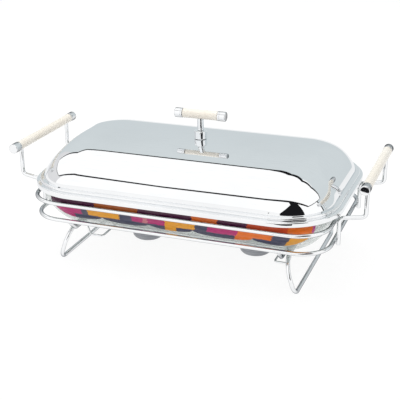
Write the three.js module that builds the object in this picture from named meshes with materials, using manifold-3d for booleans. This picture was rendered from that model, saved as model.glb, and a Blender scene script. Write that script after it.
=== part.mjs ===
// Chafing dish food warmer: a wire stand with two carrying grips, a drop-in glass dish, a domed lid with a
// T handle, and a rack with two tealight cups. Millimetres, +Z up, origin on the table under the middle.
// X runs along the length, so the carrying grips stand at the two X ends, and -Y is the front.
import * as THREE from "three";
import { ParametricGeometry } from "three/addons/geometries/ParametricGeometry.js";
import { mergeVertices } from "three/addons/utils/BufferGeometryUtils.js";
import Module from "manifold-3d";

const wasm = await Module();
wasm.setup();

// ---------------------------------------------------------------- driving dimensions
// Fits
const SEAT_GAP = 0.3; // between faces that rest on each other or are welded
const DISH_RAIL_CLEARANCE = 0.5; // between the dish wall and the top rail
const SLEEVE_CLEARANCE = 0.4; // radial, between a rod or stem and the hole round it

// Stand wires
const WIRE_RADIUS = 2.5;
const WIRE_SIDES = 8;
const RAIL_HALF_LENGTH = 190; // centre line of both rails
const TOP_RAIL_HALF_WIDTH = 121.3;
const TOP_RAIL_RISE = 40.8; // above the legs' top runs
const TOP_RAIL_CORNER = 42;
const LOWER_RAIL_STEP = 9.4; // how far its long sides lie inside the top rail's
const LOWER_RAIL_RISE = 15.2; // above the legs' top runs
const LOWER_RAIL_CORNER = 38;

// Legs: each is one wire bent into a sled, with its runner on the table
const LEG_TOP_INSET = 48.7; // from the rails' ends to the legs' top runs
const LEG_SPREAD = 14; // how much further out the runners stand
const LEG_SPAN_INSET = 18.8; // inside the top rail's long sides
const LEG_TOP_HEIGHT = 45.3;
const LEG_FOOT_BEND = 13;
const LEG_SHOULDER_BEND = 27;
const LEG_END_Y = 45;

// Cradle wires, which run under the dish from rail to rail
const CRADLE_KNEE_INSET = 17.9; // inside the lower rail's long sides
const CRADLE_BEND = 8;

// Carrying grips
const GRIP_STANDOFF = 36.4; // out from the rails' ends
const GRIP_RISE = 49.9; // above the top rail
const GRIP_HALF_LENGTH = 82;
const GRIP_RADIUS = 5.9;
const GRIP_CAP_RADIUS = 6.1;
const GRIP_CAP_LENGTH = 13;
const GRIP_CAP_FLOOR = 3; // metal left at the closed end of a cap
const GRIP_CAP_EDGE = 0.8;
const GRIP_ROD_RADIUS = 2.5;
const POST_HALF_SPACING = 62;
const POST_FOOT_DROP = 3.5; // below the lower rail
const POST_ARM_INNER_RISE = 4.9; // above the top rail
const POST_ARM_OUTER_RISE = 10.4;
const POST_BEND = 6;

// Candle rack and cups
const RACK_WIRE_RADIUS = 1.25;
const RACK_DROP = 24.8; // below the legs' top runs
const RACK_END_INSET = 24.3; // inside the legs' top runs
const RACK_KNEE_INSET = 7.3;
const RACK_HALF_SPAN = 57;
const RACK_BEND = 4;
const RACK_OVERHANG = 3;
const CUP_SPACING = 152;
const CUP_RADIUS = 21;
const CUP_EDGE = 7;
const CUP_WALL = 0.8;
const CUP_DEPTH = 22.6;
const CUP_RIM_WIDTH = 5;
const CANDLE_SIDE_CLEARANCE = 1;
const CANDLE_HEIGHT = 15;
const CANDLE_SHELL_WALL = 0.5;
const WAX_HEIGHT = 12;
const WICK_RADIUS = 0.8;
const WICK_LENGTH = 5; // above the wax

// Glass dish
const DISH_DEPTH = 53.4;
const DISH_FLOOR_INSET = 38; // from the outline at the top rail to the flat floor
const DISH_FOOT_EXPONENT = 0.5;
const DISH_WALL_EXPONENT = 1.15;
const DISH_CORNER_STEP = 17; // tighter than the lid's own corners
const DISH_FLOOR_CORNER = 36;
const DISH_WALL = 4;
const RIM_LID_CLEARANCE = 2.5; // between the dish rim and the lid's skirt
const DISH_RIM_THICKNESS = 4;
const DISH_RIM_EDGE = 1; // rounding of the rim's outer edges
const DISH_RIM_FILLET = 1.5; // under the rim, where it leaves the wall
const DISH_MOUTH_ROUND = 2; // from the wall's inner face over onto the rim

// Lid
const LID_SHEET = 1;
const FLANGE_END_OVERHANG = 9; // beyond the top rail's centre line, at the ends
const FLANGE_SIDE_OVERHANG = 6.7; // and at the long sides
const FLANGE_CORNER_EASE = 8.7; // rounder than the dome's foot
const SKIRT_DROP = 4.8; // how far the skirt hangs below the seat
const LEDGE_ROUND = 1.6; // drop of the rounded edge between the ledge and the skirt
const BEAD_HEIGHT = 4.2;
const BEAD_GROOVE_RISE = 0.2; // of the groove under the bead, above the ledge
const LEDGE_SHARE = 0.3; // shares of the way in from the skirt to the dome: the ledge,
const GROOVE_SHARE = 0.48; // the groove under the bead,
const BEAD_SHARE = 0.42; // the bead at its widest,
const BEAD_TOP_SHARE = 0.55; // and the top of the bead
const DOME_BASE_INSET_X = 9.5;
const DOME_BASE_INSET_Y = 10;
const DOME_RISE = 43;
const DOME_RIDGE_INSET = 36.5; // how far the ridge stops short of the dome's ends
const DOME_END_EXPONENT = 1.28;
const DOME_SIDE_EXPONENT = 2.18;
const DOME_CORNER_SHARE = 0.545; // corner radius over half-width, at every height

// Lid handle
const COLLAR_RADIUS = 8.2;
const COLLAR_HEIGHT = 10.6;
const COLLAR_EDGE = 1.2;
const STEM_RADIUS = 4.25;
const STEM_LENGTH = 14.4; // from the collar to the underside of the grip
const SPIGOT_RADIUS = 2;
const LID_GRIP_HALF_LENGTH = 34.2;
const LID_GRIP_CAP_LENGTH = 10.5;
const SCREW_RADIUS = 2;
const SCREW_REACH = 7; // thread inside the stem
const SCREW_HEAD_RADIUS = 4;
const SCREW_HEAD_HEIGHT = 2.6;
const WASHER_RADIUS = 7;
const WASHER_THICKNESS = 1;

// ---------------------------------------------------------------- levels that follow from them
const TRUE_RADIUS = 1 / Math.cos(Math.PI / WIRE_SIDES); // corner radius of a wire whose flats lie at radius 1
const ROD_BORE_RADIUS = GRIP_ROD_RADIUS + SLEEVE_CLEARANCE;
const TOP_RAIL_HEIGHT = LEG_TOP_HEIGHT + TOP_RAIL_RISE;
const LOWER_RAIL_HEIGHT = LEG_TOP_HEIGHT + LOWER_RAIL_RISE;
const LOWER_RAIL_HALF_WIDTH = TOP_RAIL_HALF_WIDTH - LOWER_RAIL_STEP;
const LEG_TOP_X = RAIL_HALF_LENGTH - LEG_TOP_INSET;
const LEG_FOOT_X = LEG_TOP_X + LEG_SPREAD;
const LEG_HALF_SPAN = TOP_RAIL_HALF_WIDTH - LEG_SPAN_INSET;
const CRADLE_KNEE_Y = LOWER_RAIL_HALF_WIDTH - CRADLE_KNEE_INSET;
const GRIP_REACH = RAIL_HALF_LENGTH + GRIP_STANDOFF;
const GRIP_HEIGHT = TOP_RAIL_HEIGHT + GRIP_RISE;
const POST_FOOT_HEIGHT = LOWER_RAIL_HEIGHT - POST_FOOT_DROP;
const POST_ARM_INNER_HEIGHT = TOP_RAIL_HEIGHT + POST_ARM_INNER_RISE;
const POST_ARM_OUTER_HEIGHT = TOP_RAIL_HEIGHT + POST_ARM_OUTER_RISE;
const RACK_HEIGHT = LEG_TOP_HEIGHT - RACK_DROP;
const RACK_KNEE_X = LEG_TOP_X - RACK_KNEE_INSET;
const RACK_HALF_LENGTH = LEG_TOP_X - RACK_END_INSET;
const FLANGE_HALF_LENGTH = RAIL_HALF_LENGTH + FLANGE_END_OVERHANG;
const FLANGE_HALF_WIDTH = TOP_RAIL_HALF_WIDTH + FLANGE_SIDE_OVERHANG;
const DOME_FOOT_CORNER = (FLANGE_HALF_WIDTH - DOME_BASE_INSET_Y) * DOME_CORNER_SHARE;
const FLANGE_CORNER = DOME_FOOT_CORNER + FLANGE_CORNER_EASE;
const DISH_CORNER = FLANGE_CORNER - DISH_CORNER_STEP;
const DISH_FLOOR_Z = LEG_TOP_HEIGHT + WIRE_RADIUS + SEAT_GAP;
const DISH_RIM_Z = DISH_FLOOR_Z + DISH_DEPTH;
const LID_SEAT_Z = DISH_RIM_Z + SEAT_GAP;
const LEDGE_Z = LID_SEAT_Z + LID_SHEET;
const DOME_BASE_Z = LEDGE_Z + BEAD_HEIGHT;
const DOME_TOP_Z = DOME_BASE_Z + DOME_RISE;
const COLLAR_Z = DOME_TOP_Z + SEAT_GAP;
const STEM_Z = COLLAR_Z + COLLAR_HEIGHT + SEAT_GAP;
const LID_GRIP_Z = STEM_Z + STEM_LENGTH + GRIP_RADIUS;
const LONG_WIRE_Z = RACK_HEIGHT + 2 * RACK_WIRE_RADIUS * TRUE_RADIUS + SEAT_GAP;
const LONG_WIRE_Y = CUP_RADIUS + RACK_WIRE_RADIUS * TRUE_RADIUS + SEAT_GAP;
const CUP_RIM_Z = LONG_WIRE_Z + RACK_WIRE_RADIUS * TRUE_RADIUS + SEAT_GAP;
const CUP_FLOOR_Z = CUP_RIM_Z + CUP_WALL - CUP_DEPTH;

// ---------------------------------------------------------------- finishes
const chrome = () => new THREE.MeshStandardMaterial({ color: 0xdfe3e6, roughness: 0.06, metalness: 1 });
const ivory = () => new THREE.MeshStandardMaterial({ color: 0xf6eedb, roughness: 0.35, metalness: 0 });
const glass = () => new THREE.MeshStandardMaterial({ color: 0xd5dfda, roughness: 0.05, metalness: 0 });
const brushedSteel = () => new THREE.MeshStandardMaterial({ color: 0x85888b, roughness: 0.4, metalness: 1 });
const foil = () => new THREE.MeshStandardMaterial({ color: 0xc9ccce, roughness: 0.3, metalness: 1 });
const wax = () => new THREE.MeshStandardMaterial({ color: 0xf5f2e8, roughness: 0.55, metalness: 0 });
const cotton = () => new THREE.MeshStandardMaterial({ color: 0xe4ddcc, roughness: 0.9, metalness: 0 });

// ---------------------------------------------------------------- geometry helpers
const object = new THREE.Group();

// A closed mesh with one vertex at each place and no collapsed triangles.
function closed(geometry) {
  const bare = geometry.clone();
  bare.deleteAttribute("normal");
  bare.deleteAttribute("uv");
  const merged = mergeVertices(bare, 1e-4);
  const kept = [];
  const index = merged.index.array;
  for (let i = 0; i < index.length; i += 3) {
    const [a, b, c] = [index[i], index[i + 1], index[i + 2]];
    if (a !== b && b !== c && c !== a) kept.push(a, b, c);
  }
  merged.setIndex(kept);
  return merged;
}

function solid(geometry) {
  const mesh = closed(geometry);
  return new wasm.Manifold(
    new wasm.Mesh({
      numProp: 3,
      vertProperties: new Float32Array(mesh.attributes.position.array),
      triVerts: new Uint32Array(mesh.index.array),
    }),
  );
}

function geometryOf(manifold) {
  const { vertProperties, triVerts } = manifold.getMesh();
  const geometry = new THREE.BufferGeometry();
  geometry.setAttribute("position", new THREE.BufferAttribute(vertProperties, 3));
  geometry.setIndex(new THREE.BufferAttribute(triVerts, 1));
  return geometry;
}

function add(name, geometry, material, parent = object) {
  const mesh = new THREE.Mesh(closed(geometry), material);
  mesh.name = name;
  mesh.geometry.computeVertexNormals();
  parent.add(mesh);
  return mesh;
}

// A bent wire's centre line: straight between its corners, with an arc of the given radius at each bend.
// Its stations lie only where the wire turns, and its section keeps one side facing along `side`.
class WireLine extends THREE.Curve {
  constructor(corners, bendRadii, side) {
    super();
    this.side = side;
    this.stations = [corners[0]];
    for (let i = 1; i < corners.length - 1; i++) {
      this.stations.push(...bend(corners[i - 1], corners[i], corners[i + 1], bendRadii[i - 1]));
    }
    this.stations.push(corners[corners.length - 1]);
  }

  get steps() {
    return this.stations.length - 1;
  }

  getPointAt(share, target = new THREE.Vector3()) {
    return target.copy(this.stations[Math.round(share * this.steps)]);
  }

  computeFrenetFrames(steps) {
    const tangents = [];
    const normals = [];
    const binormals = [];
    for (let i = 0; i <= steps; i++) {
      const before = this.stations[Math.max(i - 1, 0)];
      const here = this.stations[i];
      const after = this.stations[Math.min(i + 1, steps)];
      const tangent = new THREE.Vector3();
      if (i > 0) tangent.add(here.clone().sub(before).normalize());
      if (i < steps) tangent.add(after.clone().sub(here).normalize());
      tangent.normalize();
      const normal = this.side.clone().addScaledVector(tangent, -this.side.dot(tangent)).normalize();
      tangents.push(tangent);
      normals.push(normal);
      binormals.push(tangent.clone().cross(normal));
    }
    return { tangents, normals, binormals };
  }
}

// The arc that rounds one corner of a wire, as points at most 20 degrees apart.
function bend(before, corner, after, radius) {
  const inward = before.clone().sub(corner).normalize();
  const outward = after.clone().sub(corner).normalize();
  const turn = Math.PI - inward.angleTo(outward);
  const reach = radius * Math.tan(turn / 2);
  const start = corner.clone().addScaledVector(inward, reach);
  const end = corner.clone().addScaledVector(outward, reach);
  const middle = inward.clone().add(outward).normalize();
  const centre = corner.clone().addScaledVector(middle, radius / Math.cos(turn / 2));
  const steps = Math.ceil(THREE.MathUtils.radToDeg(turn) / 20);
  const arm = start.clone().sub(centre);
  const axis = arm.clone().cross(end.clone().sub(centre)).normalize();
  const points = [];
  for (let i = 0; i <= steps; i++) {
    points.push(centre.clone().add(arm.clone().applyAxisAngle(axis, (turn * i) / steps)));
  }
  return points;
}

// A round wire along a centre line. Its flats lie at the radius, so a wire lying down rests on a flat.
function wire(corners, bendRadii, radius, side) {
  const line = new WireLine(corners.map((corner) => new THREE.Vector3(...corner)), bendRadii, side);
  const section = new THREE.Shape();
  for (let i = 0; i < WIRE_SIDES; i++) {
    const angle = ((i + 0.5) / WIRE_SIDES) * 2 * Math.PI;
    const [x, y] = [radius * TRUE_RADIUS * Math.cos(angle), radius * TRUE_RADIUS * Math.sin(angle)];
    if (i === 0) section.moveTo(x, y);
    else section.lineTo(x, y);
  }
  section.closePath();
  return new THREE.ExtrudeGeometry(section, { steps: line.steps, extrudePath: line, curveSegments: 1 });
}

// A rounded rectangle, as a closed ring of points that starts at the middle of its first corner.
const CORNER_STEPS = 7;
const RING_POINTS = 4 * (CORNER_STEPS + 1);

function outlinePoint(step, { halfLength, halfWidth, corner }) {
  const quarter = Math.floor(step / (CORNER_STEPS + 1)) % 4;
  const share = (step % (CORNER_STEPS + 1)) / CORNER_STEPS;
  const angle = ((quarter + share) * Math.PI) / 2;
  const toRight = quarter === 0 || quarter === 3 ? 1 : -1;
  const toBack = quarter < 2 ? 1 : -1;
  const x = toRight * (halfLength - corner) + corner * Math.cos(angle);
  const y = toBack * (halfWidth - corner) + corner * Math.sin(angle);
  return [x, y];
}

// A closed ring of wire in a rounded rectangle, lying level.
class RailLine extends WireLine {
  constructor(outline, height) {
    super([new THREE.Vector3(), new THREE.Vector3()], [], new THREE.Vector3(0, 0, 1));
    this.stations = [];
    for (let step = 0; step <= RING_POINTS; step++) {
      const [x, y] = outlinePoint(step % RING_POINTS, outline);
      this.stations.push(new THREE.Vector3(x, y, height));
    }
  }

  computeFrenetFrames(steps) {
    const frames = super.computeFrenetFrames(steps);
    const across = this.stations[1].clone().sub(this.stations[steps - 1]).normalize();
    for (const end of [0, steps]) {
      frames.tangents[end] = across.clone();
      frames.binormals[end] = across.clone().cross(frames.normals[end]);
    }
    return frames;
  }
}

function rail(outline, height) {
  const line = new RailLine(outline, height);
  return new THREE.TubeGeometry(line, line.steps, WIRE_RADIUS * TRUE_RADIUS, WIRE_SIDES, true);
}

// A skin through a stack of rounded-rectangle rings, in order: closed when it ends as it starts, or on a point.
function loft(rings) {
  const place = (around, along, target) => {
    const ring = rings[Math.round(along * (rings.length - 1))];
    const [x, y] = outlinePoint(Math.round(around * RING_POINTS) % RING_POINTS, ring);
    target.set(x, y, ring.z);
  };
  return new ParametricGeometry(place, RING_POINTS, rings.length - 1);
}

function ring(halfLength, halfWidth, corner, z) {
  return { halfLength, halfWidth, corner, z };
}

// A turned piece about the Z axis, from profile points [radius, height].
function turned(profile, segments = 24) {
  return new THREE.LatheGeometry(profile.map(([x, y]) => new THREE.Vector2(x, y)), segments).rotateX(Math.PI / 2);
}

function arcPoints(centreX, centreY, radius, from, to, steps) {
  const points = [];
  for (let i = 0; i <= steps; i++) {
    const angle = THREE.MathUtils.degToRad(from + ((to - from) * i) / steps);
    points.push([centreX + radius * Math.cos(angle), centreY + radius * Math.sin(angle)]);
  }
  return points;
}

function cylinder(radius, low, high, segments = 24) {
  return turned([[0, low], [radius, low], [radius, high], [0, high]], segments);
}

function tube(inner, outer, low, high, segments = 24) {
  return turned([[inner, low], [outer, low], [outer, high], [inner, high], [inner, low]], segments);
}

// ---------------------------------------------------------------- stand
const sides = [["left", -1], ["right", 1]];
const ends = [["front", -1], ["back", 1]];

function buildRails() {
  const top = { halfLength: RAIL_HALF_LENGTH, halfWidth: TOP_RAIL_HALF_WIDTH, corner: TOP_RAIL_CORNER };
  const lower = { halfLength: RAIL_HALF_LENGTH, halfWidth: LOWER_RAIL_HALF_WIDTH, corner: LOWER_RAIL_CORNER };
  add("top_rail", rail(top, TOP_RAIL_HEIGHT), chrome());
  add("lower_rail", rail(lower, LOWER_RAIL_HEIGHT), chrome());
}

function buildLeg(name, sign) {
  const foot = sign * LEG_FOOT_X;
  const top = sign * LEG_TOP_X;
  const corners = [
    [top, -LEG_END_Y, LEG_TOP_HEIGHT],
    [top, -LEG_HALF_SPAN, LEG_TOP_HEIGHT],
    [foot, -LEG_HALF_SPAN, WIRE_RADIUS],
    [foot, LEG_HALF_SPAN, WIRE_RADIUS],
    [top, LEG_HALF_SPAN, LEG_TOP_HEIGHT],
    [top, LEG_END_Y, LEG_TOP_HEIGHT],
  ];
  const bends = [LEG_SHOULDER_BEND, LEG_FOOT_BEND, LEG_FOOT_BEND, LEG_SHOULDER_BEND];
  add(`leg_wire_${name}`, wire(corners, bends, WIRE_RADIUS, new THREE.Vector3(1, 0, 0)), chrome());
}

// The cradle wire lies beside the leg's top run and hangs from the inner underside of the lower rail.
function buildCradle(name, sign) {
  const x = sign * (LEG_TOP_X - 2 * WIRE_RADIUS * TRUE_RADIUS - SEAT_GAP);
  const weldReach = (2 * WIRE_RADIUS * TRUE_RADIUS + SEAT_GAP) * Math.SQRT1_2;
  const endY = LOWER_RAIL_HALF_WIDTH - weldReach;
  const endZ = LOWER_RAIL_HEIGHT - weldReach;
  const corners = [
    [x, -endY, endZ],
    [x, -CRADLE_KNEE_Y, LEG_TOP_HEIGHT],
    [x, CRADLE_KNEE_Y, LEG_TOP_HEIGHT],
    [x, endY, endZ],
  ];
  const bends = [CRADLE_BEND, CRADLE_BEND];
  add(`cradle_wire_${name}`, wire(corners, bends, WIRE_RADIUS, new THREE.Vector3(1, 0, 0)), chrome());
}

// Each post runs up the outside of both rails, out along a short arm, and up into the grip.
function buildPost(name, sign, depthName, depthSign) {
  const y = depthSign * POST_HALF_SPACING;
  const inner = sign * (RAIL_HALF_LENGTH + 2 * WIRE_RADIUS * TRUE_RADIUS + SEAT_GAP);
  const outer = sign * GRIP_REACH;
  const corners = [
    [inner, y, POST_FOOT_HEIGHT],
    [inner, y, POST_ARM_INNER_HEIGHT],
    [outer, y, POST_ARM_OUTER_HEIGHT],
    [outer, y, GRIP_HEIGHT - GRIP_ROD_RADIUS - SEAT_GAP],
  ];
  const post = wire(corners, [POST_BEND, POST_BEND], WIRE_RADIUS, new THREE.Vector3(0, 1, 0));
  add(`handle_post_${name}_${depthName}`, post, chrome());
}

// ---------------------------------------------------------------- grips
// Their pieces are made along Z, centred, and laid down afterwards.
function sleeveShape(halfLength) {
  return tube(ROD_BORE_RADIUS, GRIP_RADIUS, -halfLength, halfLength);
}

function rodShape(halfLength) {
  return cylinder(GRIP_ROD_RADIUS, -halfLength, halfLength);
}

// A chrome end cap with a blind bore for the rod, its closed end at `tip`.
function capShape(tip, length) {
  return turned([
    [0, tip - GRIP_CAP_FLOOR],
    [ROD_BORE_RADIUS, tip - GRIP_CAP_FLOOR],
    [ROD_BORE_RADIUS, tip - length],
    [GRIP_CAP_RADIUS, tip - length],
    [GRIP_CAP_RADIUS, tip - GRIP_CAP_EDGE],
    [GRIP_CAP_RADIUS - GRIP_CAP_EDGE, tip],
    [0, tip],
  ], 24);
}

function buildCarryGrip(name, sign) {
  const bar = new THREE.Group();
  bar.position.set(sign * GRIP_REACH, 0, GRIP_HEIGHT);
  bar.rotation.x = -Math.PI / 2; // the bar's own Z becomes +Y
  object.add(bar);
  const sleeveHalf = GRIP_HALF_LENGTH - GRIP_CAP_LENGTH - SEAT_GAP;
  let sleeve = solid(sleeveShape(sleeveHalf));
  for (const [, depthSign] of ends) {
    const hole = cylinder(WIRE_RADIUS * TRUE_RADIUS + SLEEVE_CLEARANCE, 0, 2 * GRIP_RADIUS);
    hole.rotateX(-Math.PI / 2).translate(0, 0, depthSign * POST_HALF_SPACING);
    sleeve = sleeve.subtract(solid(hole));
  }
  add(`grip_sleeve_${name}`, geometryOf(sleeve), ivory(), bar);
  add(`grip_rod_${name}`, rodShape(GRIP_HALF_LENGTH - GRIP_CAP_FLOOR - SEAT_GAP), chrome(), bar);
  for (const [depthName, depthSign] of ends) {
    const cap = capShape(GRIP_HALF_LENGTH, GRIP_CAP_LENGTH);
    if (depthSign < 0) cap.rotateX(Math.PI);
    add(`grip_cap_${name}_${depthName}`, cap, chrome(), bar);
  }
}

// ---------------------------------------------------------------- candle rack and cups
function buildRack() {
  const legUnderside = LEG_TOP_HEIGHT - WIRE_RADIUS - SEAT_GAP;
  const lean = Math.atan2(LEG_TOP_X - RACK_KNEE_X, legUnderside - RACK_HEIGHT);
  const weldHeight = legUnderside - RACK_WIRE_RADIUS * TRUE_RADIUS * Math.sin(lean);
  for (const [name, sign] of sides) {
    const half = (depthSign) => [
      [sign * LEG_TOP_X, depthSign * RACK_HALF_SPAN, weldHeight],
      [sign * RACK_KNEE_X, depthSign * RACK_HALF_SPAN, RACK_HEIGHT],
      [sign * RACK_HALF_LENGTH, depthSign * RACK_HALF_SPAN, RACK_HEIGHT],
    ];
    const corners = [...half(-1), ...half(1).reverse()];
    const bends = [RACK_BEND, RACK_BEND, RACK_BEND, RACK_BEND];
    const shape = wire(corners, bends, RACK_WIRE_RADIUS, new THREE.Vector3(sign * 0.35, 0, 1).normalize());
    add(`rack_end_wire_${name}`, shape, chrome());
  }
  for (const [name, sign] of ends) {
    const reach = RACK_HALF_LENGTH + RACK_OVERHANG;
    const corners = [[-reach, sign * LONG_WIRE_Y, LONG_WIRE_Z], [reach, sign * LONG_WIRE_Y, LONG_WIRE_Z]];
    add(`rack_long_wire_${name}`, wire(corners, [], RACK_WIRE_RADIUS, new THREE.Vector3(0, 0, 1)), chrome());
  }
}

// A thin dished cup: flat floor, rounded edge, straight wall, with the given wall thickness.
function cupProfile(radius, edge, floor, top, wall) {
  return [
    [0, floor],
    ...arcPoints(radius - edge, floor + edge, edge, -90, 0, 4),
    [radius, top],
    [radius - wall, top],
    ...arcPoints(radius - edge, floor + edge, edge - wall, 0, -90, 4),
    [0, floor + wall],
  ];
}

function buildCup(name, sign) {
  const group = new THREE.Group();
  group.position.set((sign * CUP_SPACING) / 2, 0, 0);
  object.add(group);

  const rimTop = CUP_RIM_Z + CUP_WALL;
  const body = cupProfile(CUP_RADIUS, CUP_EDGE, CUP_FLOOR_Z, rimTop, CUP_WALL);
  const wallTop = body.findIndex(([x, z]) => x === CUP_RADIUS && z === rimTop);
  const lip = [
    [CUP_RADIUS, CUP_RIM_Z],
    [CUP_RADIUS + CUP_RIM_WIDTH, CUP_RIM_Z],
    [CUP_RADIUS + CUP_RIM_WIDTH, rimTop],
  ];
  body.splice(wallTop, 1, ...lip);
  add(`${name}_candle_cup`, turned(body), brushedSteel(), group);

  const shellRadius = CUP_RADIUS - CUP_WALL - CANDLE_SIDE_CLEARANCE;
  const shellEdge = CUP_EDGE - CUP_WALL - CANDLE_SIDE_CLEARANCE;
  const shellFloor = CUP_FLOOR_Z + CUP_WALL + SEAT_GAP;
  const shell = cupProfile(shellRadius, shellEdge, shellFloor, shellFloor + CANDLE_HEIGHT, CANDLE_SHELL_WALL);
  add(`${name}_candle_shell`, turned(shell), foil(), group);

  const waxRadius = shellRadius - CANDLE_SHELL_WALL - SEAT_GAP;
  const waxEdge = shellEdge - CANDLE_SHELL_WALL - SEAT_GAP;
  const waxFloor = shellFloor + CANDLE_SHELL_WALL + SEAT_GAP;
  const waxTop = waxFloor + WAX_HEIGHT;
  const block = solid(turned([
    [0, waxFloor],
    ...arcPoints(waxRadius - waxEdge, waxFloor + waxEdge, waxEdge, -90, 0, 3),
    [waxRadius, waxTop],
    [0, waxTop],
  ]));
  const wickHole = solid(cylinder(WICK_RADIUS + SEAT_GAP, waxTop - WAX_HEIGHT / 2, waxTop + WAX_HEIGHT, 12));
  add(`${name}_candle_wax`, geometryOf(block.subtract(wickHole)), wax(), group);
  const wickFoot = waxTop - WAX_HEIGHT / 2 + SEAT_GAP;
  add(`${name}_candle_wick`, cylinder(WICK_RADIUS, wickFoot, waxTop + WICK_LENGTH, 12), cotton(), group);
}

// ---------------------------------------------------------------- glass dish
// Outer wall: how far the outline at height z lies inside the outline at the top rail.
function dishInset(z) {
  const share = Math.min((z - DISH_FLOOR_Z) / (TOP_RAIL_HEIGHT - DISH_FLOOR_Z), 1);
  return DISH_FLOOR_INSET * (1 - share ** DISH_FOOT_EXPONENT) ** DISH_WALL_EXPONENT;
}

function dishRing(inset, z) {
  const halfLength = RAIL_HALF_LENGTH - WIRE_RADIUS * TRUE_RADIUS - DISH_RAIL_CLEARANCE - inset;
  const halfWidth = TOP_RAIL_HALF_WIDTH - WIRE_RADIUS * TRUE_RADIUS - DISH_RAIL_CLEARANCE - inset;
  const corner = DISH_CORNER - ((DISH_CORNER - DISH_FLOOR_CORNER) * inset) / DISH_FLOOR_INSET;
  return ring(halfLength, halfWidth, corner, z);
}

// The rim's outline lies inside the lid's skirt, with corners as round as the skirt's own.
function rimRing(inset, z) {
  const reach = LID_SHEET + RIM_LID_CLEARANCE + inset;
  return ring(FLANGE_HALF_LENGTH - reach, FLANGE_HALF_WIDTH - reach, FLANGE_CORNER, z);
}

function buildDish() {
  const rimUnderside = DISH_RIM_Z - DISH_RIM_THICKNESS;
  const shares = [0, 0.02, 0.07, 0.15, 0.27, 0.45, 0.7, 1];
  const outer = shares.map((share) => {
    const z = DISH_FLOOR_Z + share * (TOP_RAIL_HEIGHT - DISH_FLOOR_Z);
    return dishRing(dishInset(z), z);
  });
  const innerFloor = DISH_FLOOR_Z + DISH_WALL;
  const inner = shares.map((share) => {
    const z = innerFloor + share * (TOP_RAIL_HEIGHT - innerFloor);
    const outerZ = DISH_FLOOR_Z + share * (TOP_RAIL_HEIGHT - DISH_FLOOR_Z);
    return dishRing(dishInset(outerZ) + DISH_WALL, z);
  });
  const rings = [
    ring(0, 0, 0, DISH_FLOOR_Z),
    ...outer,
    dishRing(0, rimUnderside - DISH_RIM_FILLET),
    dishRing(-DISH_RIM_FILLET, rimUnderside),
    rimRing(DISH_RIM_EDGE, rimUnderside),
    rimRing(0, rimUnderside + DISH_RIM_EDGE),
    rimRing(0, DISH_RIM_Z - DISH_RIM_EDGE),
    rimRing(DISH_RIM_EDGE, DISH_RIM_Z),
    dishRing(DISH_WALL - DISH_MOUTH_ROUND, DISH_RIM_Z),
    dishRing(DISH_WALL, DISH_RIM_Z - DISH_MOUTH_ROUND),
    ...inner.reverse(),
    ring(0, 0, 0, innerFloor),
  ];
  add("glass_dish", loft(rings), glass());
}

// ---------------------------------------------------------------- lid
// A ring of the lid's edge: share 0 is the skirt's outline and share 1 is the foot of the dome.
function edgeRing(share, z, thinning = 0) {
  const halfLength = FLANGE_HALF_LENGTH - share * DOME_BASE_INSET_X - thinning;
  const halfWidth = FLANGE_HALF_WIDTH - share * DOME_BASE_INSET_Y - thinning;
  const corner = FLANGE_CORNER - share * FLANGE_CORNER_EASE - thinning;
  return ring(halfLength, halfWidth, corner, z);
}

// A ring of the dome: share 0 is its foot and share 1 is its ridge. Thinning gives the inner face.
function domeRing(share, thinning = 0) {
  const angle = (share * Math.PI) / 2;
  const height = Math.sin(angle) ** (2 / DOME_SIDE_EXPONENT);
  const narrowing = Math.cos(angle) ** (2 / DOME_SIDE_EXPONENT);
  const ridge = 1 - (1 - height ** DOME_END_EXPONENT) ** (1 / DOME_END_EXPONENT);
  const halfLength = FLANGE_HALF_LENGTH - DOME_BASE_INSET_X - DOME_RIDGE_INSET * ridge - thinning;
  const halfWidth = (FLANGE_HALF_WIDTH - DOME_BASE_INSET_Y - thinning) * narrowing;
  const z = DOME_BASE_Z - thinning + DOME_RISE * height;
  return ring(halfLength, halfWidth, halfWidth * DOME_CORNER_SHARE, z);
}

function buildLidShell() {
  const skirtZ = LID_SEAT_Z - SKIRT_DROP;
  const domeShares = [0, 0.08, 0.18, 0.3, 0.43, 0.57, 0.7, 0.82, 0.92];
  const holeRadius = SCREW_RADIUS + SLEEVE_CLEARANCE;
  const thin = LID_SHEET;
  const rings = [
    edgeRing(0, skirtZ),
    edgeRing(0, LEDGE_Z - LEDGE_ROUND),
    edgeRing(LEDGE_SHARE * 0.4, LEDGE_Z - LEDGE_ROUND / 4),
    edgeRing(LEDGE_SHARE, LEDGE_Z),
    edgeRing(GROOVE_SHARE, LEDGE_Z + BEAD_GROOVE_RISE),
    edgeRing(BEAD_SHARE, LEDGE_Z + BEAD_HEIGHT * 0.35),
    edgeRing(BEAD_SHARE, LEDGE_Z + BEAD_HEIGHT * 0.65),
    edgeRing(BEAD_TOP_SHARE, LEDGE_Z + BEAD_HEIGHT * 0.93),
    ...domeShares.map((share) => domeRing(share)),
    ring(holeRadius, holeRadius, holeRadius, DOME_TOP_Z),
    ring(holeRadius, holeRadius, holeRadius, DOME_TOP_Z - thin),
    ...domeShares.map((share) => domeRing(share, thin)).reverse(),
    edgeRing(BEAD_TOP_SHARE, LEDGE_Z + BEAD_HEIGHT * 0.93 - thin, thin),
    edgeRing(GROOVE_SHARE, LEDGE_Z + BEAD_HEIGHT * 0.6, thin),
    edgeRing(BEAD_TOP_SHARE, LID_SEAT_Z, thin),
    edgeRing(LEDGE_SHARE, LID_SEAT_Z, thin),
    edgeRing(LEDGE_SHARE * 0.4, LEDGE_Z - thin - LEDGE_ROUND * 0.75, thin),
    edgeRing(0, LEDGE_Z - thin - LEDGE_ROUND * 1.4, thin),
    edgeRing(0, skirtZ, thin),
    edgeRing(0, skirtZ),
  ];
  add("lid_shell", loft(rings), chrome());
}

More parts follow.
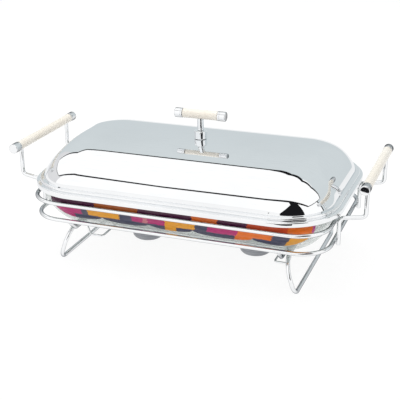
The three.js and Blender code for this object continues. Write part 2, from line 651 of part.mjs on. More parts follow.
function buildLidHandle() {
  const bore = SCREW_RADIUS + SLEEVE_CLEARANCE;
  const collarTop = COLLAR_Z + COLLAR_HEIGHT;
  add("lid_collar", turned([
    [bore, COLLAR_Z],
    [COLLAR_RADIUS - COLLAR_EDGE, COLLAR_Z],
    ...arcPoints(COLLAR_RADIUS - COLLAR_EDGE, COLLAR_Z + COLLAR_EDGE, COLLAR_EDGE, -60, 0, 2),
    ...arcPoints(COLLAR_RADIUS - COLLAR_EDGE, collarTop - COLLAR_EDGE, COLLAR_EDGE, 0, 90, 3),
    [bore, collarTop],
    [bore, COLLAR_Z],
  ]), chrome());

  // The stem is coped to the underside of the grip, with a spigot that passes through it to the rod.
  const stemTop = LID_GRIP_Z - GRIP_RADIUS / 2;
  const screwTop = STEM_Z + SCREW_REACH;
  const saddle = cylinder(GRIP_RADIUS + SEAT_GAP, -STEM_RADIUS * 2, STEM_RADIUS * 2, 48).rotateY(Math.PI / 2);
  saddle.translate(0, 0, LID_GRIP_Z);
  const spigot = cylinder(SPIGOT_RADIUS, screwTop + 2, LID_GRIP_Z - GRIP_ROD_RADIUS - SEAT_GAP);
  const stem = solid(cylinder(STEM_RADIUS, STEM_Z, stemTop))
    .subtract(solid(saddle))
    .add(solid(spigot))
    .subtract(solid(cylinder(bore, STEM_Z - 1, screwTop + SEAT_GAP)));
  add("lid_stem", geometryOf(stem), chrome());

  const bar = new THREE.Group();
  bar.position.set(0, 0, LID_GRIP_Z);
  bar.rotation.y = Math.PI / 2; // the bar's own Z becomes +X
  object.add(bar);
  const hole = cylinder(SPIGOT_RADIUS + SLEEVE_CLEARANCE, 0, 2 * GRIP_RADIUS);
  hole.rotateY(Math.PI / 2);
  const sleeve = solid(sleeveShape(LID_GRIP_HALF_LENGTH - LID_GRIP_CAP_LENGTH - SEAT_GAP)).subtract(solid(hole));
  add("lid_grip_sleeve", geometryOf(sleeve), ivory(), bar);
  add("lid_grip_rod", rodShape(LID_GRIP_HALF_LENGTH - GRIP_CAP_FLOOR - SEAT_GAP), chrome(), bar);
  for (const [name, sign] of sides) {
    const cap = capShape(LID_GRIP_HALF_LENGTH, LID_GRIP_CAP_LENGTH);
    if (sign < 0) cap.rotateX(Math.PI);
    add(`lid_grip_cap_${name}`, cap, chrome(), bar);
  }

  const washerTop = DOME_TOP_Z - LID_SHEET - SEAT_GAP;
  const washerFloor = washerTop - WASHER_THICKNESS;
  add("lid_washer", tube(bore, WASHER_RADIUS, washerFloor, washerTop), foil());
  const headTop = washerFloor - SEAT_GAP;
  add("lid_screw", turned([
    [0, headTop - SCREW_HEAD_HEIGHT],
    [SCREW_HEAD_RADIUS - 1, headTop - SCREW_HEAD_HEIGHT],
    [SCREW_HEAD_RADIUS, headTop - 1],
    [SCREW_HEAD_RADIUS, headTop],
    [SCREW_RADIUS, headTop],
    [SCREW_RADIUS, screwTop],
    [0, screwTop],
  ], 24), foil());
}

// ---------------------------------------------------------------- assembly
buildRails();
for (const [name, sign] of sides) {
  buildLeg(name, sign);
  buildCradle(name, sign);
  for (const [depthName, depthSign] of ends) buildPost(name, sign, depthName, depthSign);
  buildCarryGrip(name, sign);
}
buildRack();
for (const [name, sign] of sides) buildCup(name, sign);
buildDish();
buildLidShell();
buildLidHandle();

export default object;
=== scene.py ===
"""Visual model of a chafing dish food warmer: wire stand, glass dish, domed lid and two tealights.

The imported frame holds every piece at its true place. This script gives each one its fine surface and finish.
Lengths are in metres unless a name ends in _mm. +Z is up, +X runs towards the right-hand carrying grip and -Y
is the front.
"""

import logging
import math
from collections.abc import Callable, Iterable, Sequence
from dataclasses import dataclass
from enum import Enum

import bmesh
import bpy
from mathutils import Euler, Matrix, Vector


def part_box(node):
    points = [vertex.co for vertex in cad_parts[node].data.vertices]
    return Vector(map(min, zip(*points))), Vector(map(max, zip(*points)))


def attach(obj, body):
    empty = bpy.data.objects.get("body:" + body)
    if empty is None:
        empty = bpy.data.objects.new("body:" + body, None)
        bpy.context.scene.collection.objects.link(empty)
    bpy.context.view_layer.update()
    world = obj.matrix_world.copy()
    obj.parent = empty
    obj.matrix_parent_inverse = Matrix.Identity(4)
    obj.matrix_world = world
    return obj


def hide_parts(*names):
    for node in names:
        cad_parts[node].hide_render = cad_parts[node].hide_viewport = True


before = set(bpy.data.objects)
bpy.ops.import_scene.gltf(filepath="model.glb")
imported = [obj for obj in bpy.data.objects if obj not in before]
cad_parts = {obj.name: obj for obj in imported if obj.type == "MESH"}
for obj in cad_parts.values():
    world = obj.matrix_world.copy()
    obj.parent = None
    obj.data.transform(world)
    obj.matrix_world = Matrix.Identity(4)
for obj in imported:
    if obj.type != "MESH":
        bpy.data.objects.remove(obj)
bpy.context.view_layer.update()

LOG = logging.getLogger("food_warmer")
MM = 0.001
SHARP_EDGE = math.radians(38)
Node, NodeSocket, NodeTree = bpy.types.Node, bpy.types.NodeSocket, bpy.types.NodeTree
Mesh, Object = bpy.types.Mesh, bpy.types.Object
Point = tuple[float, float]
Colour = tuple[float, float, float, float]


class Side(Enum):
    """The two ends of the warmer along its length."""

    LEFT = -1
    RIGHT = 1

    @property
    def word(self) -> str:
        """The name used in piece names."""
        return self.name.lower()


class Depth(Enum):
    """The two long sides of the warmer."""

    FRONT = -1
    BACK = 1

    @property
    def word(self) -> str:
        """The name used in piece names."""
        return self.name.lower()


# Measuring and colours
def srgb(red: float, green: float, blue: float) -> Colour:
    """Turns a colour in 0-255 display values into the linear values that shaders use.

    Args:
        red, green, blue: display values, 0 to 255.

    Returns:
        The linear colour with full alpha.
    """
    def linear(value: float) -> float:
        """One channel, display to linear."""
        share = value / 255
        return share / 12.92 if share <= 0.04045 else ((share + 0.055) / 1.055) ** 2.4

    return (linear(red), linear(green), linear(blue), 1.0)


@dataclass(frozen=True)
class Extent:
    """The box of a CAD node at rest."""

    low: Vector
    high: Vector

    @classmethod
    def of(cls, node: str) -> "Extent":
        """Measures a CAD node."""
        low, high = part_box(node)
        return cls(low, high)

    @property
    def middle(self) -> Vector:
        """The box's centre."""
        return (self.low + self.high) / 2

    @property
    def half(self) -> Vector:
        """Half of the box's size along each axis."""
        return (self.high - self.low) / 2


# Node trees
class Graph:
    """A node tree with short calls for adding and joining nodes."""

    def __init__(self, tree: NodeTree) -> None:
        """Keeps the tree that nodes are added to."""
        self.tree = tree

    def add(self, kind: str, sockets: dict | None = None, **settings: object) -> Node:
        """Adds a node.

        Args:
            kind: the node's type name.
            sockets: input name or index to a value, or to an output socket to join.
            settings: the node's own properties.

        Returns:
            The new node.
        """
        node = self.tree.nodes.new(kind)
        for name, value in settings.items():
            setattr(node, name, value)
        for key, value in (sockets or {}).items():
            self.put(node, key, value)
        return node

    def put(self, node: Node, key: str | int, value: object) -> None:
        """Sets one input of a node, or joins an output to it.

        Args:
            node: the node whose input is set.
            key: the input's name or index.
            value: a value, or an output socket to join.
        """
        if isinstance(value, NodeSocket):
            self.tree.links.new(value, node.inputs[key])
        else:
            node.inputs[key].default_value = value

    def fill(self, node: Node, values: dict[str, object]) -> None:
        """Sets or joins several inputs of a node."""
        for key, value in values.items():
            self.put(node, key, value)

    def noise(self, vector: NodeSocket, scale: float, detail: float) -> NodeSocket:
        """Adds a noise texture and returns its pattern."""
        return self.add("ShaderNodeTexNoise", {"Vector": vector, "Scale": scale, "Detail": detail}).outputs[0]

    def math(self, operation: str, first: object, second: object = 0.0) -> NodeSocket:
        """Adds a Math node and returns its result."""
        return self.add("ShaderNodeMath", {0: first, 1: second}, operation=operation).outputs[0]

    def between(self, value: object, low: float, high: float, to_low: float, to_high: float) -> NodeSocket:
        """Maps value from low..high to to_low..to_high, clamped, and returns the result."""
        node = self.add("ShaderNodeMapRange", {0: value, 1: low, 2: high, 3: to_low, 4: to_high})
        return node.outputs[0]

    def mix(self, share: object, first: object, second: object) -> NodeSocket:
        """Mixes two colours and returns the result.

        Args:
            share: how far along, 0 to 1.
            first: the colour at 0.
            second: the colour at 1.

        Returns:
            The mixed colour.
        """
        node = self.add("ShaderNodeMix", data_type="RGBA")
        self.put(node, 0, share)
        self.put(node, 6, first)
        self.put(node, 7, second)
        return node.outputs[2]

    def ramp(self, share: object, stops: Sequence[tuple[float, Colour]], hard: bool = False) -> NodeSocket:
        """Adds a colour ramp.

        Args:
            share: what drives the ramp, 0 to 1.
            stops: position and colour of each stop, in order.
            hard: True where each colour holds until the next stop.

        Returns:
            The ramp's colour output.
        """
        node = self.add("ShaderNodeValToRGB", {0: share})
        node.color_ramp.interpolation = "CONSTANT" if hard else "LINEAR"
        elements = node.color_ramp.elements
        elements[0].position, elements[0].color = stops[0]
        elements[1].position, elements[1].color = stops[-1]
        for position, colour in stops[1:-1]:
            elements.new(position).color = colour
        return node.outputs[0]


def shader_group(name: str, inputs: Sequence[tuple[str, str, object]], outputs: Sequence[tuple[str, str]],
                 build: Callable[[Graph, Node, Node], None]) -> NodeTree:
    """Makes a shader node group once, and hands back the same one afterwards.

    Args:
        name: the group's name.
        inputs: name, socket type and starting value of each input.
        outputs: name and socket type of each output.
        build: fills the group between its input and output nodes.

    Returns:
        The group.
    """
    found = bpy.data.node_groups.get(name)
    if found:
        return found
    tree = bpy.data.node_groups.new(name, "ShaderNodeTree")
    for socket_name, kind, value in inputs:
        socket = tree.interface.new_socket(socket_name, in_out="INPUT", socket_type=kind)
        socket.default_value = value
    for socket_name, kind in outputs:
        tree.interface.new_socket(socket_name, in_out="OUTPUT", socket_type=kind)
    graph = Graph(tree)
    build(graph, graph.add("NodeGroupInput"), graph.add("NodeGroupOutput"))
    return tree


def handling_marks() -> NodeTree:
    """Soft clouds with finer wipe streaks, as a cloth leaves on a polished surface.

    Returns:
        The group.
    """
    def build(graph: Graph, given: Node, result: Node) -> None:
        """Joins the two patterns.

        Args:
            graph: the tree that nodes are added to.
            given: the group's input node.
            result: the group's output node.
        """
        clouds = graph.add("ShaderNodeTexNoise", {
            "Vector": given.outputs["Vector"], "Scale": given.outputs["Cloud Scale"], "Detail": 3.0,
            "Roughness": 0.6})
        spread = graph.add("ShaderNodeMapping", {"Vector": given.outputs["Vector"], "Scale": (1.0, 7.0, 2.0)})
        streaks = graph.add("ShaderNodeTexNoise", {
            "Vector": spread.outputs[0], "Scale": given.outputs["Streak Scale"], "Detail": 4.0})
        cloud_mask = graph.between(clouds.outputs[0], 0.45, 0.75, 0.0, 1.0)
        streak_mask = graph.between(streaks.outputs[0], 0.5, 0.72, 0.0, 0.6)
        both = graph.math("MAXIMUM", cloud_mask, streak_mask)
        graph.put(result, "Mask", graph.math("MULTIPLY", both, given.outputs["Amount"]))

    return shader_group(
        "handling_marks",
        [("Vector", "NodeSocketVector", (0, 0, 0)), ("Cloud Scale", "NodeSocketFloat", 18.0),
         ("Streak Scale", "NodeSocketFloat", 60.0), ("Amount", "NodeSocketFloat", 1.0)],
        [("Mask", "NodeSocketFloat")], build)


def lengthwise_grain() -> NodeTree:
    """Fine lines drawn out along one direction, with a slower change of tone over them.

    Returns:
        The group.
    """
    def build(graph: Graph, given: Node, result: Node) -> None:
        """Joins the fine and the slow pattern.

        Args:
            graph: the tree that nodes are added to.
            given: the group's input node.
            result: the group's output node.
        """
        drawn = graph.add("ShaderNodeVectorMath", {0: given.outputs["Vector"], 1: given.outputs["Stretch"]},
                          operation="MULTIPLY")
        fine = graph.add("ShaderNodeTexNoise", {
            "Vector": drawn.outputs[0], "Scale": given.outputs["Scale"], "Detail": 3.0, "Roughness": 0.5})
        slow = graph.add("ShaderNodeTexNoise", {
            "Vector": given.outputs["Vector"], "Scale": given.outputs["Tone Scale"], "Detail": 2.0})
        graph.put(result, "Grain", graph.between(fine.outputs[0], 0.3, 0.7, 0.0, 1.0))
        graph.put(result, "Tone", graph.between(slow.outputs[0], 0.35, 0.65, 0.0, 1.0))

    return shader_group(
        "lengthwise_grain",
        [("Vector", "NodeSocketVector", (0, 0, 0)), ("Stretch", "NodeSocketVector", (1, 1, 1)),
         ("Scale", "NodeSocketFloat", 200.0), ("Tone Scale", "NodeSocketFloat", 30.0)],
        [("Grain", "NodeSocketFloat"), ("Tone", "NodeSocketFloat")], build)


def turning_marks() -> NodeTree:
    """Rings round the Z axis of the vector it is given, as a turning tool or a spinning brush leaves.

    Returns:
        The group.
    """
    def build(graph: Graph, given: Node, result: Node) -> None:
        """Turns distance from the axis into rings.

        Args:
            graph: the tree that nodes are added to.
            given: the group's input node.
            result: the group's output node.
        """
        flat = graph.add("ShaderNodeVectorMath", {0: given.outputs["Vector"], 1: (1, 1, 0)},
                         operation="MULTIPLY")
        reach = graph.add("ShaderNodeVectorMath", {0: flat.outputs[0]}, operation="LENGTH")
        parts = graph.add("ShaderNodeSeparateXYZ", {0: given.outputs["Vector"]})
        place = graph.add("ShaderNodeCombineXYZ", {0: reach.outputs["Value"], 2: parts.outputs[2]})
        rings = graph.add("ShaderNodeTexNoise", {
            "Vector": place.outputs[0], "Scale": given.outputs["Pitch"], "Detail": 4.0, "Roughness": 0.7})
        graph.put(result, "Rings", graph.between(rings.outputs[0], 0.3, 0.7, 0.0, 1.0))

    return shader_group(
        "turning_marks", [("Vector", "NodeSocketVector", (0, 0, 0)), ("Pitch", "NodeSocketFloat", 900.0)],
        [("Rings", "NodeSocketFloat")], build)


# Finishes
@dataclass(frozen=True)
class Finish:
    """A surface finish: a name, and the material slot of the record that it belongs to."""

    name: str
    slot: str

    def material(self) -> bpy.types.Material:
        """Makes the material once, and hands back the same one afterwards.

        Returns:
            The material.
        """
        found = bpy.data.materials.get(self.name)
        if found:
            return found
        material = bpy.data.materials.new(self.name)
        material.use_nodes = True
        graph = Graph(material.node_tree)
        self.dress(graph, material.node_tree.nodes["Principled BSDF"])
        return material

    def dress(self, graph: Graph, shader: Node) -> None:
        """Sets the shader's sockets. Each finish has its own way."""
        raise NotImplementedError

    @staticmethod
    def place(graph: Graph, centre: Sequence[float] = (0, 0, 0),
              turn: Sequence[float] = (0, 0, 0)) -> NodeSocket:
        """Object coordinates, moved so that centre is the pattern's origin and then turned.

        Args:
            graph: the tree that nodes are added to.
            centre: the pattern's origin.
            turn: the turn about X, Y and Z.

        Returns:
            The coordinates.
        """
        coordinates = graph.add("ShaderNodeTexCoord").outputs["Object"]
        moved = graph.add("ShaderNodeMapping", {
            "Vector": coordinates, "Location": tuple(-value for value in centre)})
        return graph.add("ShaderNodeMapping",
                         {"Vector": moved.outputs[0], "Rotation": tuple(turn)}).outputs[0]

    @staticmethod
    def use(graph: Graph, group: NodeTree, sockets: dict) -> Node:
        """Places a shared group in this material.

        Args:
            graph: the tree that nodes are added to.
            group: the shared group.
            sockets: input name to value.

        Returns:
            The group node.
        """
        node = graph.add("ShaderNodeGroup", node_tree=group)
        for key, value in sockets.items():
            graph.put(node, key, value)
        return node

    @staticmethod
    def bump(graph: Graph, shader: Node, height: NodeSocket, strength: float, depth: float) -> None:
        """Feeds a height to the shader's normal; depth is how far it moves the surface."""
        node = graph.add("ShaderNodeBump", {"Height": height, "Strength": strength, "Distance": depth})
        graph.put(shader, "Normal", node.outputs[0])


@dataclass(frozen=True)
class Chrome(Finish):
    """Bright chrome plate with faint handling marks and a trace of waviness under the plate; a dark edge tint
    paints dark reflections at grazing edges.
    """

    tint: Colour = (0.9, 0.91, 0.92, 1.0)
    gloss: float = 0.025
    marks: float = 0.05
    cloud_scale: float = 16.0
    wave_depth: float = 0.00001
    # Painted reflection: a dark edge tint darkens the chrome's reflection at grazing edges, standing in for
    # dark surroundings mirrored there.
    painted_edge_reflection: Colour = (0.9, 0.91, 0.92, 1.0)

    def dress(self, graph: Graph, shader: Node) -> None:
        """Sets the chrome's colour, roughness and normal.

        Args:
            graph: the tree that nodes are added to.
            shader: its Principled shader.
        """
        place = self.place(graph)
        marks = self.use(graph, handling_marks(), {"Vector": place, "Cloud Scale": self.cloud_scale})
        mask = marks.outputs["Mask"]
        dull = graph.math("MULTIPLY", mask, 0.08)
        graph.fill(shader, {
            "Metallic": 1.0,
            # Painted reflection: the edge tint colours the reflection at grazing edges; dark values paint dark
            # edge lines.
            "Specular Tint": self.painted_edge_reflection,
            "Base Color": graph.mix(dull, self.tint, (0.3, 0.3, 0.31, 1.0)),
            "Roughness": graph.between(mask, 0.0, 1.0, self.gloss, self.gloss + self.marks)})
        wave = graph.noise(place, 35.0, 1.0)
        self.bump(graph, shader, wave, 0.25, self.wave_depth)


@dataclass(frozen=True)
class Ivory(Finish):
    """Ivory-coloured moulding with a soft gloss and a faint lengthwise grain."""

    stretch: tuple[float, float, float] = (1.0, 0.04, 1.0)

    def dress(self, graph: Graph, shader: Node) -> None:
        """Sets the ivory's colour, roughness, coat and normal.

        Args:
            graph: the tree that nodes are added to.
            shader: its Principled shader.
        """
        place = self.place(graph)
        grain = self.use(graph, lengthwise_grain(), {
            "Vector": place, "Stretch": self.stretch, "Scale": 300.0, "Tone Scale": 24.0})
        base = graph.mix(grain.outputs["Tone"], srgb(255, 250, 240), srgb(251, 243, 229))
        lines = graph.math("MULTIPLY", grain.outputs["Grain"], 0.16)
        graph.fill(shader, {
            "Base Color": graph.mix(lines, base, srgb(240, 230, 212)),
            "Roughness": graph.between(grain.outputs["Grain"], 0.0, 1.0, 0.26, 0.36),
            "Coat Weight": 0.35,
            "Coat Roughness": 0.08})
        self.bump(graph, shader, grain.outputs["Grain"], 0.08, 0.00001)


@dataclass(frozen=True)
class ClearGlass(Finish):
    """Clear pressed glass with a slight green-grey body colour and soft mould waves."""

    def dress(self, graph: Graph, shader: Node) -> None:
        """Sets the glass's colour, transmission, roughness and normal.

        Args:
            graph: the tree that nodes are added to.
            shader: its Principled shader.
        """
        place = self.place(graph)
        graph.fill(shader, {
            "Base Color": srgb(244, 250, 248),
            "Transmission Weight": 1.0,
            "IOR": 1.47})
        marks = self.use(graph, handling_marks(), {"Vector": place, "Cloud Scale": 22.0})
        graph.put(shader, "Roughness", graph.between(marks.outputs["Mask"], 0.0, 1.0, 0.0, 0.03))
        wave = graph.noise(place, 28.0, 1.0)
        self.bump(graph, shader, wave, 0.4, 0.00015)


@dataclass(frozen=True)
class BrushedSteel(Finish):
    """Spun steel with rings about an upright axis."""

    centre: tuple[float, float, float] = (0.0, 0.0, 0.0)
    light: Colour = srgb(176, 178, 182)
    dark: Colour = srgb(122, 124, 130)
    pitch: float = 900.0

    def dress(self, graph: Graph, shader: Node) -> None:
        """Sets the steel's colour, roughness and normal.

        Args:
            graph: the tree that nodes are added to.
            shader: its Principled shader.
        """
        place = self.place(graph, self.centre)
        rings = self.use(graph, turning_marks(), {"Vector": place, "Pitch": self.pitch}).outputs["Rings"]
        marks = self.use(graph, handling_marks(), {"Vector": place, "Cloud Scale": 45.0, "Amount": 0.8})
        toned = graph.mix(rings, self.light, self.dark)
        graph.fill(shader, {
            "Metallic": 1.0,
            "Base Color": graph.mix(marks.outputs["Mask"], toned, self.dark),
            "Roughness": graph.between(rings, 0.0, 1.0, 0.24, 0.42)})
        self.bump(graph, shader, rings, 0.35, 0.00003)


@dataclass(frozen=True)
class Foil(Finish):
    """Thin drawn aluminium with small dents."""

    def dress(self, graph: Graph, shader: Node) -> None:
        """Sets the foil's colour, roughness and normal.

        Args:
            graph: the tree that nodes are added to.
            shader: its Principled shader.
        """
        place = self.place(graph)
        dents = graph.noise(place, 170.0, 2.0)
        scratches = self.use(graph, lengthwise_grain(), {
            "Vector": place, "Stretch": (1.0, 1.0, 0.1), "Scale": 900.0, "Tone Scale": 60.0})
        graph.fill(shader, {
            "Metallic": 1.0,
            "Base Color": graph.mix(scratches.outputs["Tone"], srgb(226, 228, 230), srgb(205, 208, 211)),
            "Roughness": graph.between(scratches.outputs["Grain"], 0.0, 1.0, 0.18, 0.32)})
        self.bump(graph, shader, dents, 0.3, 0.0001)


@dataclass(frozen=True)
class Wax(Finish):
    """White paraffin wax with a frosted bloom."""

    def dress(self, graph: Graph, shader: Node) -> None:
        """Sets the wax's colour, roughness and normal.

        Args:
            graph: the tree that nodes are added to.
            shader: its Principled shader.
        """
        place = self.place(graph)
        bloom = graph.noise(place, 120.0, 4.0)
        graph.fill(shader, {
            "Base Color": graph.mix(bloom, srgb(250, 247, 238), srgb(238, 234, 222)),
            "Roughness": graph.between(bloom, 0.3, 0.7, 0.38, 0.55),
            "Subsurface Weight": 0.25,
            "Subsurface Scale": 0.004})
        self.bump(graph, shader, bloom, 0.2, 0.0001)


@dataclass(frozen=True)
class Cotton(Finish):
    """Waxed cotton wick."""

    def dress(self, graph: Graph, shader: Node) -> None:
        """Sets the cotton's colour, roughness and normal.

        Args:
            graph: the tree that nodes are added to.
            shader: its Principled shader.
        """
        place = self.place(graph)
        fibres = self.use(graph, lengthwise_grain(), {
            "Vector": place, "Stretch": (1.0, 1.0, 0.2), "Scale": 2600.0, "Tone Scale": 400.0})
        graph.put(shader, "Base Color",
                  graph.mix(fibres.outputs["Grain"], srgb(236, 229, 210), srgb(205, 195, 170)))
        graph.put(shader, "Roughness", graph.between(fibres.outputs["Tone"], 0.0, 1.0, 0.7, 0.9))
        self.bump(graph, shader, fibres.outputs["Grain"], 0.5, 0.00005)


class Enamel(Enum):
    """The colours of the printed border; two of them are print colours darkened by painted shade."""

    MAGENTA = srgb(186, 28, 112)
    # Painted shade: the maroon and the brown are the magenta and the orange darkened as painted shade, where
    # the lid's flange shades the border's upper row.
    SHADED_MAGENTA = srgb(78, 8, 62)
    BROWN = srgb(184, 92, 18)
    ORANGE = srgb(240, 116, 20)
    YELLOW = srgb(240, 164, 26)
    SLATE = srgb(62, 66, 92)
    RUST = srgb(212, 72, 12)
    PINK = srgb(196, 84, 152)
    ROSE = srgb(204, 118, 132)


@dataclass(frozen=True)
class PrintedBorder(Finish):
    """Colour blocks in three rows, fired onto the glass; painted shade darkens some upper blocks. UV u runs
    along the border and v up it.
    """

    start_mm: float = -160.0
    end_mm: float = 182.0
    low_row: float = 0.24
    high_row: float = 0.6

    # Painted shade: the upper row's maroon and brown blocks are darker as painted shade from the lid's flange
    # over them; the block layout itself is print.
    UPPER = ((-160, Enamel.SHADED_MAGENTA), (-98, Enamel.BROWN), (-41, Enamel.SHADED_MAGENTA), (29, Enamel.ORANGE),
             (61, Enamel.SHADED_MAGENTA), (97, Enamel.RUST), (145, Enamel.ORANGE), (176, Enamel.PINK))
    MIDDLE = ((-160, Enamel.MAGENTA), (-117, Enamel.SLATE), (-109, Enamel.YELLOW), (-65, Enamel.SLATE),
              (-49, Enamel.MAGENTA), (-34, Enamel.ROSE), (-27, Enamel.MAGENTA), (-5, Enamel.YELLOW),
              (35, Enamel.SLATE), (50, Enamel.MAGENTA), (88, Enamel.ORANGE), (131, Enamel.SLATE),
              (152, Enamel.YELLOW))
    LOWER = ((-160, Enamel.MAGENTA), (-128, Enamel.SLATE), (-5, Enamel.YELLOW), (10, Enamel.SLATE),
             (86, Enamel.ORANGE), (108, Enamel.SLATE), (150, Enamel.YELLOW))

    def stops(self, row: Sequence[tuple[float, Enamel]]) -> list[tuple[float, Colour]]:
        """A row's blocks as ramp stops."""
        return [((start - self.start_mm) / (self.end_mm - self.start_mm), colour.value) for start,
                colour in row]

    def dress(self, graph: Graph, shader: Node) -> None:
        """Paints the rows and gives the enamel its brushed texture.

        Args:
            graph: the tree that nodes are added to.
            shader: its Principled shader.
        """
        uv = graph.add("ShaderNodeUVMap", uv_map="border").outputs[0]
        parts = graph.add("ShaderNodeSeparateXYZ", {0: uv})
        along, up = parts.outputs[0], parts.outputs[1]
        strokes = self.use(graph, lengthwise_grain(), {
            "Vector": uv, "Stretch": (14.0, 5.0, 1.0), "Scale": 3.0, "Tone Scale": 9.0})
        ragged = graph.between(strokes.outputs["Grain"], 0.0, 1.0, -0.004, 0.004)
        lean = graph.between(up, 0.0, 1.0, 0.008, -0.008)
        shifted = graph.math("ADD", graph.math("ADD", along, ragged), lean)
        lifted = graph.math("ADD", up, graph.math("MULTIPLY", ragged, 6.0))
        upper = graph.ramp(shifted, self.stops(self.UPPER), hard=True)
        middle = graph.ramp(shifted, self.stops(self.MIDDLE), hard=True)
        lower = graph.ramp(shifted, self.stops(self.LOWER), hard=True)
        in_middle = graph.math("GREATER_THAN", lifted, self.low_row)
        in_upper = graph.math("GREATER_THAN", lifted, self.high_row)
        rows = graph.mix(in_upper, graph.mix(in_middle, lower, middle), upper)
        tone = graph.math("MULTIPLY", strokes.outputs["Tone"], 0.06)
        shade = graph.math("MULTIPLY", strokes.outputs["Grain"], 0.14)
        toned = graph.mix(tone, rows, srgb(245, 225, 215))
        graph.fill(shader, {
            "Base Color": graph.mix(shade, toned, srgb(30, 14, 34)),
            "Roughness": graph.between(strokes.outputs["Grain"], 0.0, 1.0, 0.3, 0.45),
            "Specular IOR Level": 0.25,
            "Coat Weight": 0.12,
            "Coat Roughness": 0.06})
        self.bump(graph, shader, strokes.outputs["Grain"], 0.15, 0.00004)


# Painted reflection: these near-black edge tints paint dark reflections along the edges of the stand wires and
# the handle caps.
WIRE_PAINTED_EDGE_REFLECTION = (0.1, 0.115, 0.135, 1.0)
CAP_PAINTED_EDGE_REFLECTION = (0.015, 0.017, 0.022, 1.0)
STAND_CHROME = Chrome("stand_chrome", "stand_wire", painted_edge_reflection=WIRE_PAINTED_EDGE_REFLECTION)
RACK_CHROME = Chrome("rack_chrome", "rack_wire", gloss=0.05, marks=0.08, painted_edge_reflection=WIRE_PAINTED_EDGE_REFLECTION)
HANDLE_CHROME = Chrome("handle_chrome", "handle_chrome", gloss=0.03, painted_edge_reflection=CAP_PAINTED_EDGE_REFLECTION)
CAP_CHROME = Chrome("cap_chrome", "handle_chrome", gloss=0.03, painted_edge_reflection=CAP_PAINTED_EDGE_REFLECTION)
LID_CHROME = Chrome("lid_chrome", "lid_sheet", gloss=0.012, marks=0.03, cloud_scale=9.0, wave_depth=0.000004)
GRIP_IVORY = Ivory("grip_ivory", "ivory_sleeve")
LID_GRIP_IVORY = Ivory("lid_grip_ivory", "ivory_sleeve", stretch=(0.04, 1.0, 1.0))
DISH_GLASS = ClearGlass("dish_glass", "dish_glass")
BORDER_ENAMEL = PrintedBorder("border_enamel", "dish_glass")
CANDLE_FOIL = Foil("candle_foil", "candle_foil")
CANDLE_WAX = Wax("candle_wax", "candle_wax")
CANDLE_COTTON = Cotton("candle_cotton", "candle_wick")
FASTENER_ZINC = BrushedSteel("fastener_zinc", "fastener_steel", light=srgb(196, 200, 204),
                             dark=srgb(150, 154, 160))


# Mesh making
def linked(name: str, data: bpy.types.ID | None) -> Object:
    """Makes an object for some data and puts it in the scene.

    Args:
        name: the object's name.
        data: its mesh, curve, lamp or camera.

    Returns:
        The object.
    """
    thing = bpy.data.objects.new(name, data)
    bpy.context.scene.collection.objects.link(thing)
    return thing


def seal(mesh: Mesh, doubles: float, slivers: float = 0.0) -> None:
    """Turns a mesh's faces outward, with its doubles merged first.

    Args:
        mesh: the mesh.
        doubles: points nearer than this become one; 0 leaves them.
        slivers: faces and edges smaller than this are dissolved; 0 leaves them.
    """
    shell = bmesh.new()
    shell.from_mesh(mesh)
    if doubles > 0:
        bmesh.ops.remove_doubles(shell, verts=shell.verts, dist=doubles)
    if slivers > 0:
        bmesh.ops.dissolve_degenerate(shell, edges=shell.edges, dist=slivers)
    bmesh.ops.recalc_face_normals(shell, faces=shell.faces)
    shell.to_mesh(mesh)
    shell.free()


def smooth(mesh: Mesh, sharp: float = SHARP_EDGE) -> None:
    """Shades a mesh smooth, but for edges that turn by more than sharp."""
    mesh.polygons.foreach_set("use_smooth", [True] * len(mesh.polygons))
    mesh.set_sharp_from_angle(angle=sharp)


def replace_node(node: str, ending: str, mesh: Mesh, finish: Finish, body: str) -> None:
    """Puts in a piece that stands for one CAD node, named after it."""
    new_piece(f"{node}_{ending}", mesh, finish, body, [node])


def new_piece(name: str, mesh: Mesh, finish: Finish, body: str, nodes: Sequence[str] = ()) -> Object:
    """Puts a finished mesh into the model.

    Args:
        name: the piece's name.
        mesh: its mesh, in place.
        finish: what it is finished in.
        body: the CAD body that it rides on.
        nodes: the CAD nodes that it stands for.

    Returns:
        The piece's object.
    """
    mesh.materials.clear()
    mesh.materials.append(finish.material())
    piece = linked(name, mesh)
    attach(piece, body)
    if nodes:
        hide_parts(*nodes)
    LOG.info("%s: %d faces on %s", name, len(mesh.polygons), body)
    return piece


def tidy_mesh(name: str, points: Sequence[Vector], faces: Iterable[Sequence[int]],
              sharp: float = SHARP_EDGE) -> Mesh:
    """Makes a closed mesh with doubles merged, faces outward and smooth shading.

    Args:
        name: the mesh's name.
        points: its vertices.
        faces: vertex indices of each face.
        sharp: edges that turn by more than this stay crisp.

    Returns:
        The mesh.
    """
    mesh = bpy.data.meshes.new(name)
    mesh.from_pydata([tuple(point) for point in points], [], list(faces))
    seal(mesh, doubles=1e-6, slivers=1e-7)
    smooth(mesh, sharp)
    mesh.update()
    return mesh


def skin(rings: Sequence[Sequence[Vector]], close_along: bool) -> tuple[list[Vector], list[tuple[int, ...]]]:
    """Joins a stack of equal closed rings with four-sided faces.

    Args:
        rings: the rings, each with as many points.
        close_along: True where the last ring joins the first.

    Returns:
        The vertices and the faces.
    """
    count = len(rings[0])
    points = [point for ring in rings for point in ring]
    faces = []
    spans = len(rings) if close_along else len(rings) - 1
    for row in range(spans):
        here, there = row * count, (row + 1) % len(rings) * count
        for step in range(count):
            after = (step + 1) % count
            faces.append((here + step, here + after, there + after, there + step))
    return points, faces


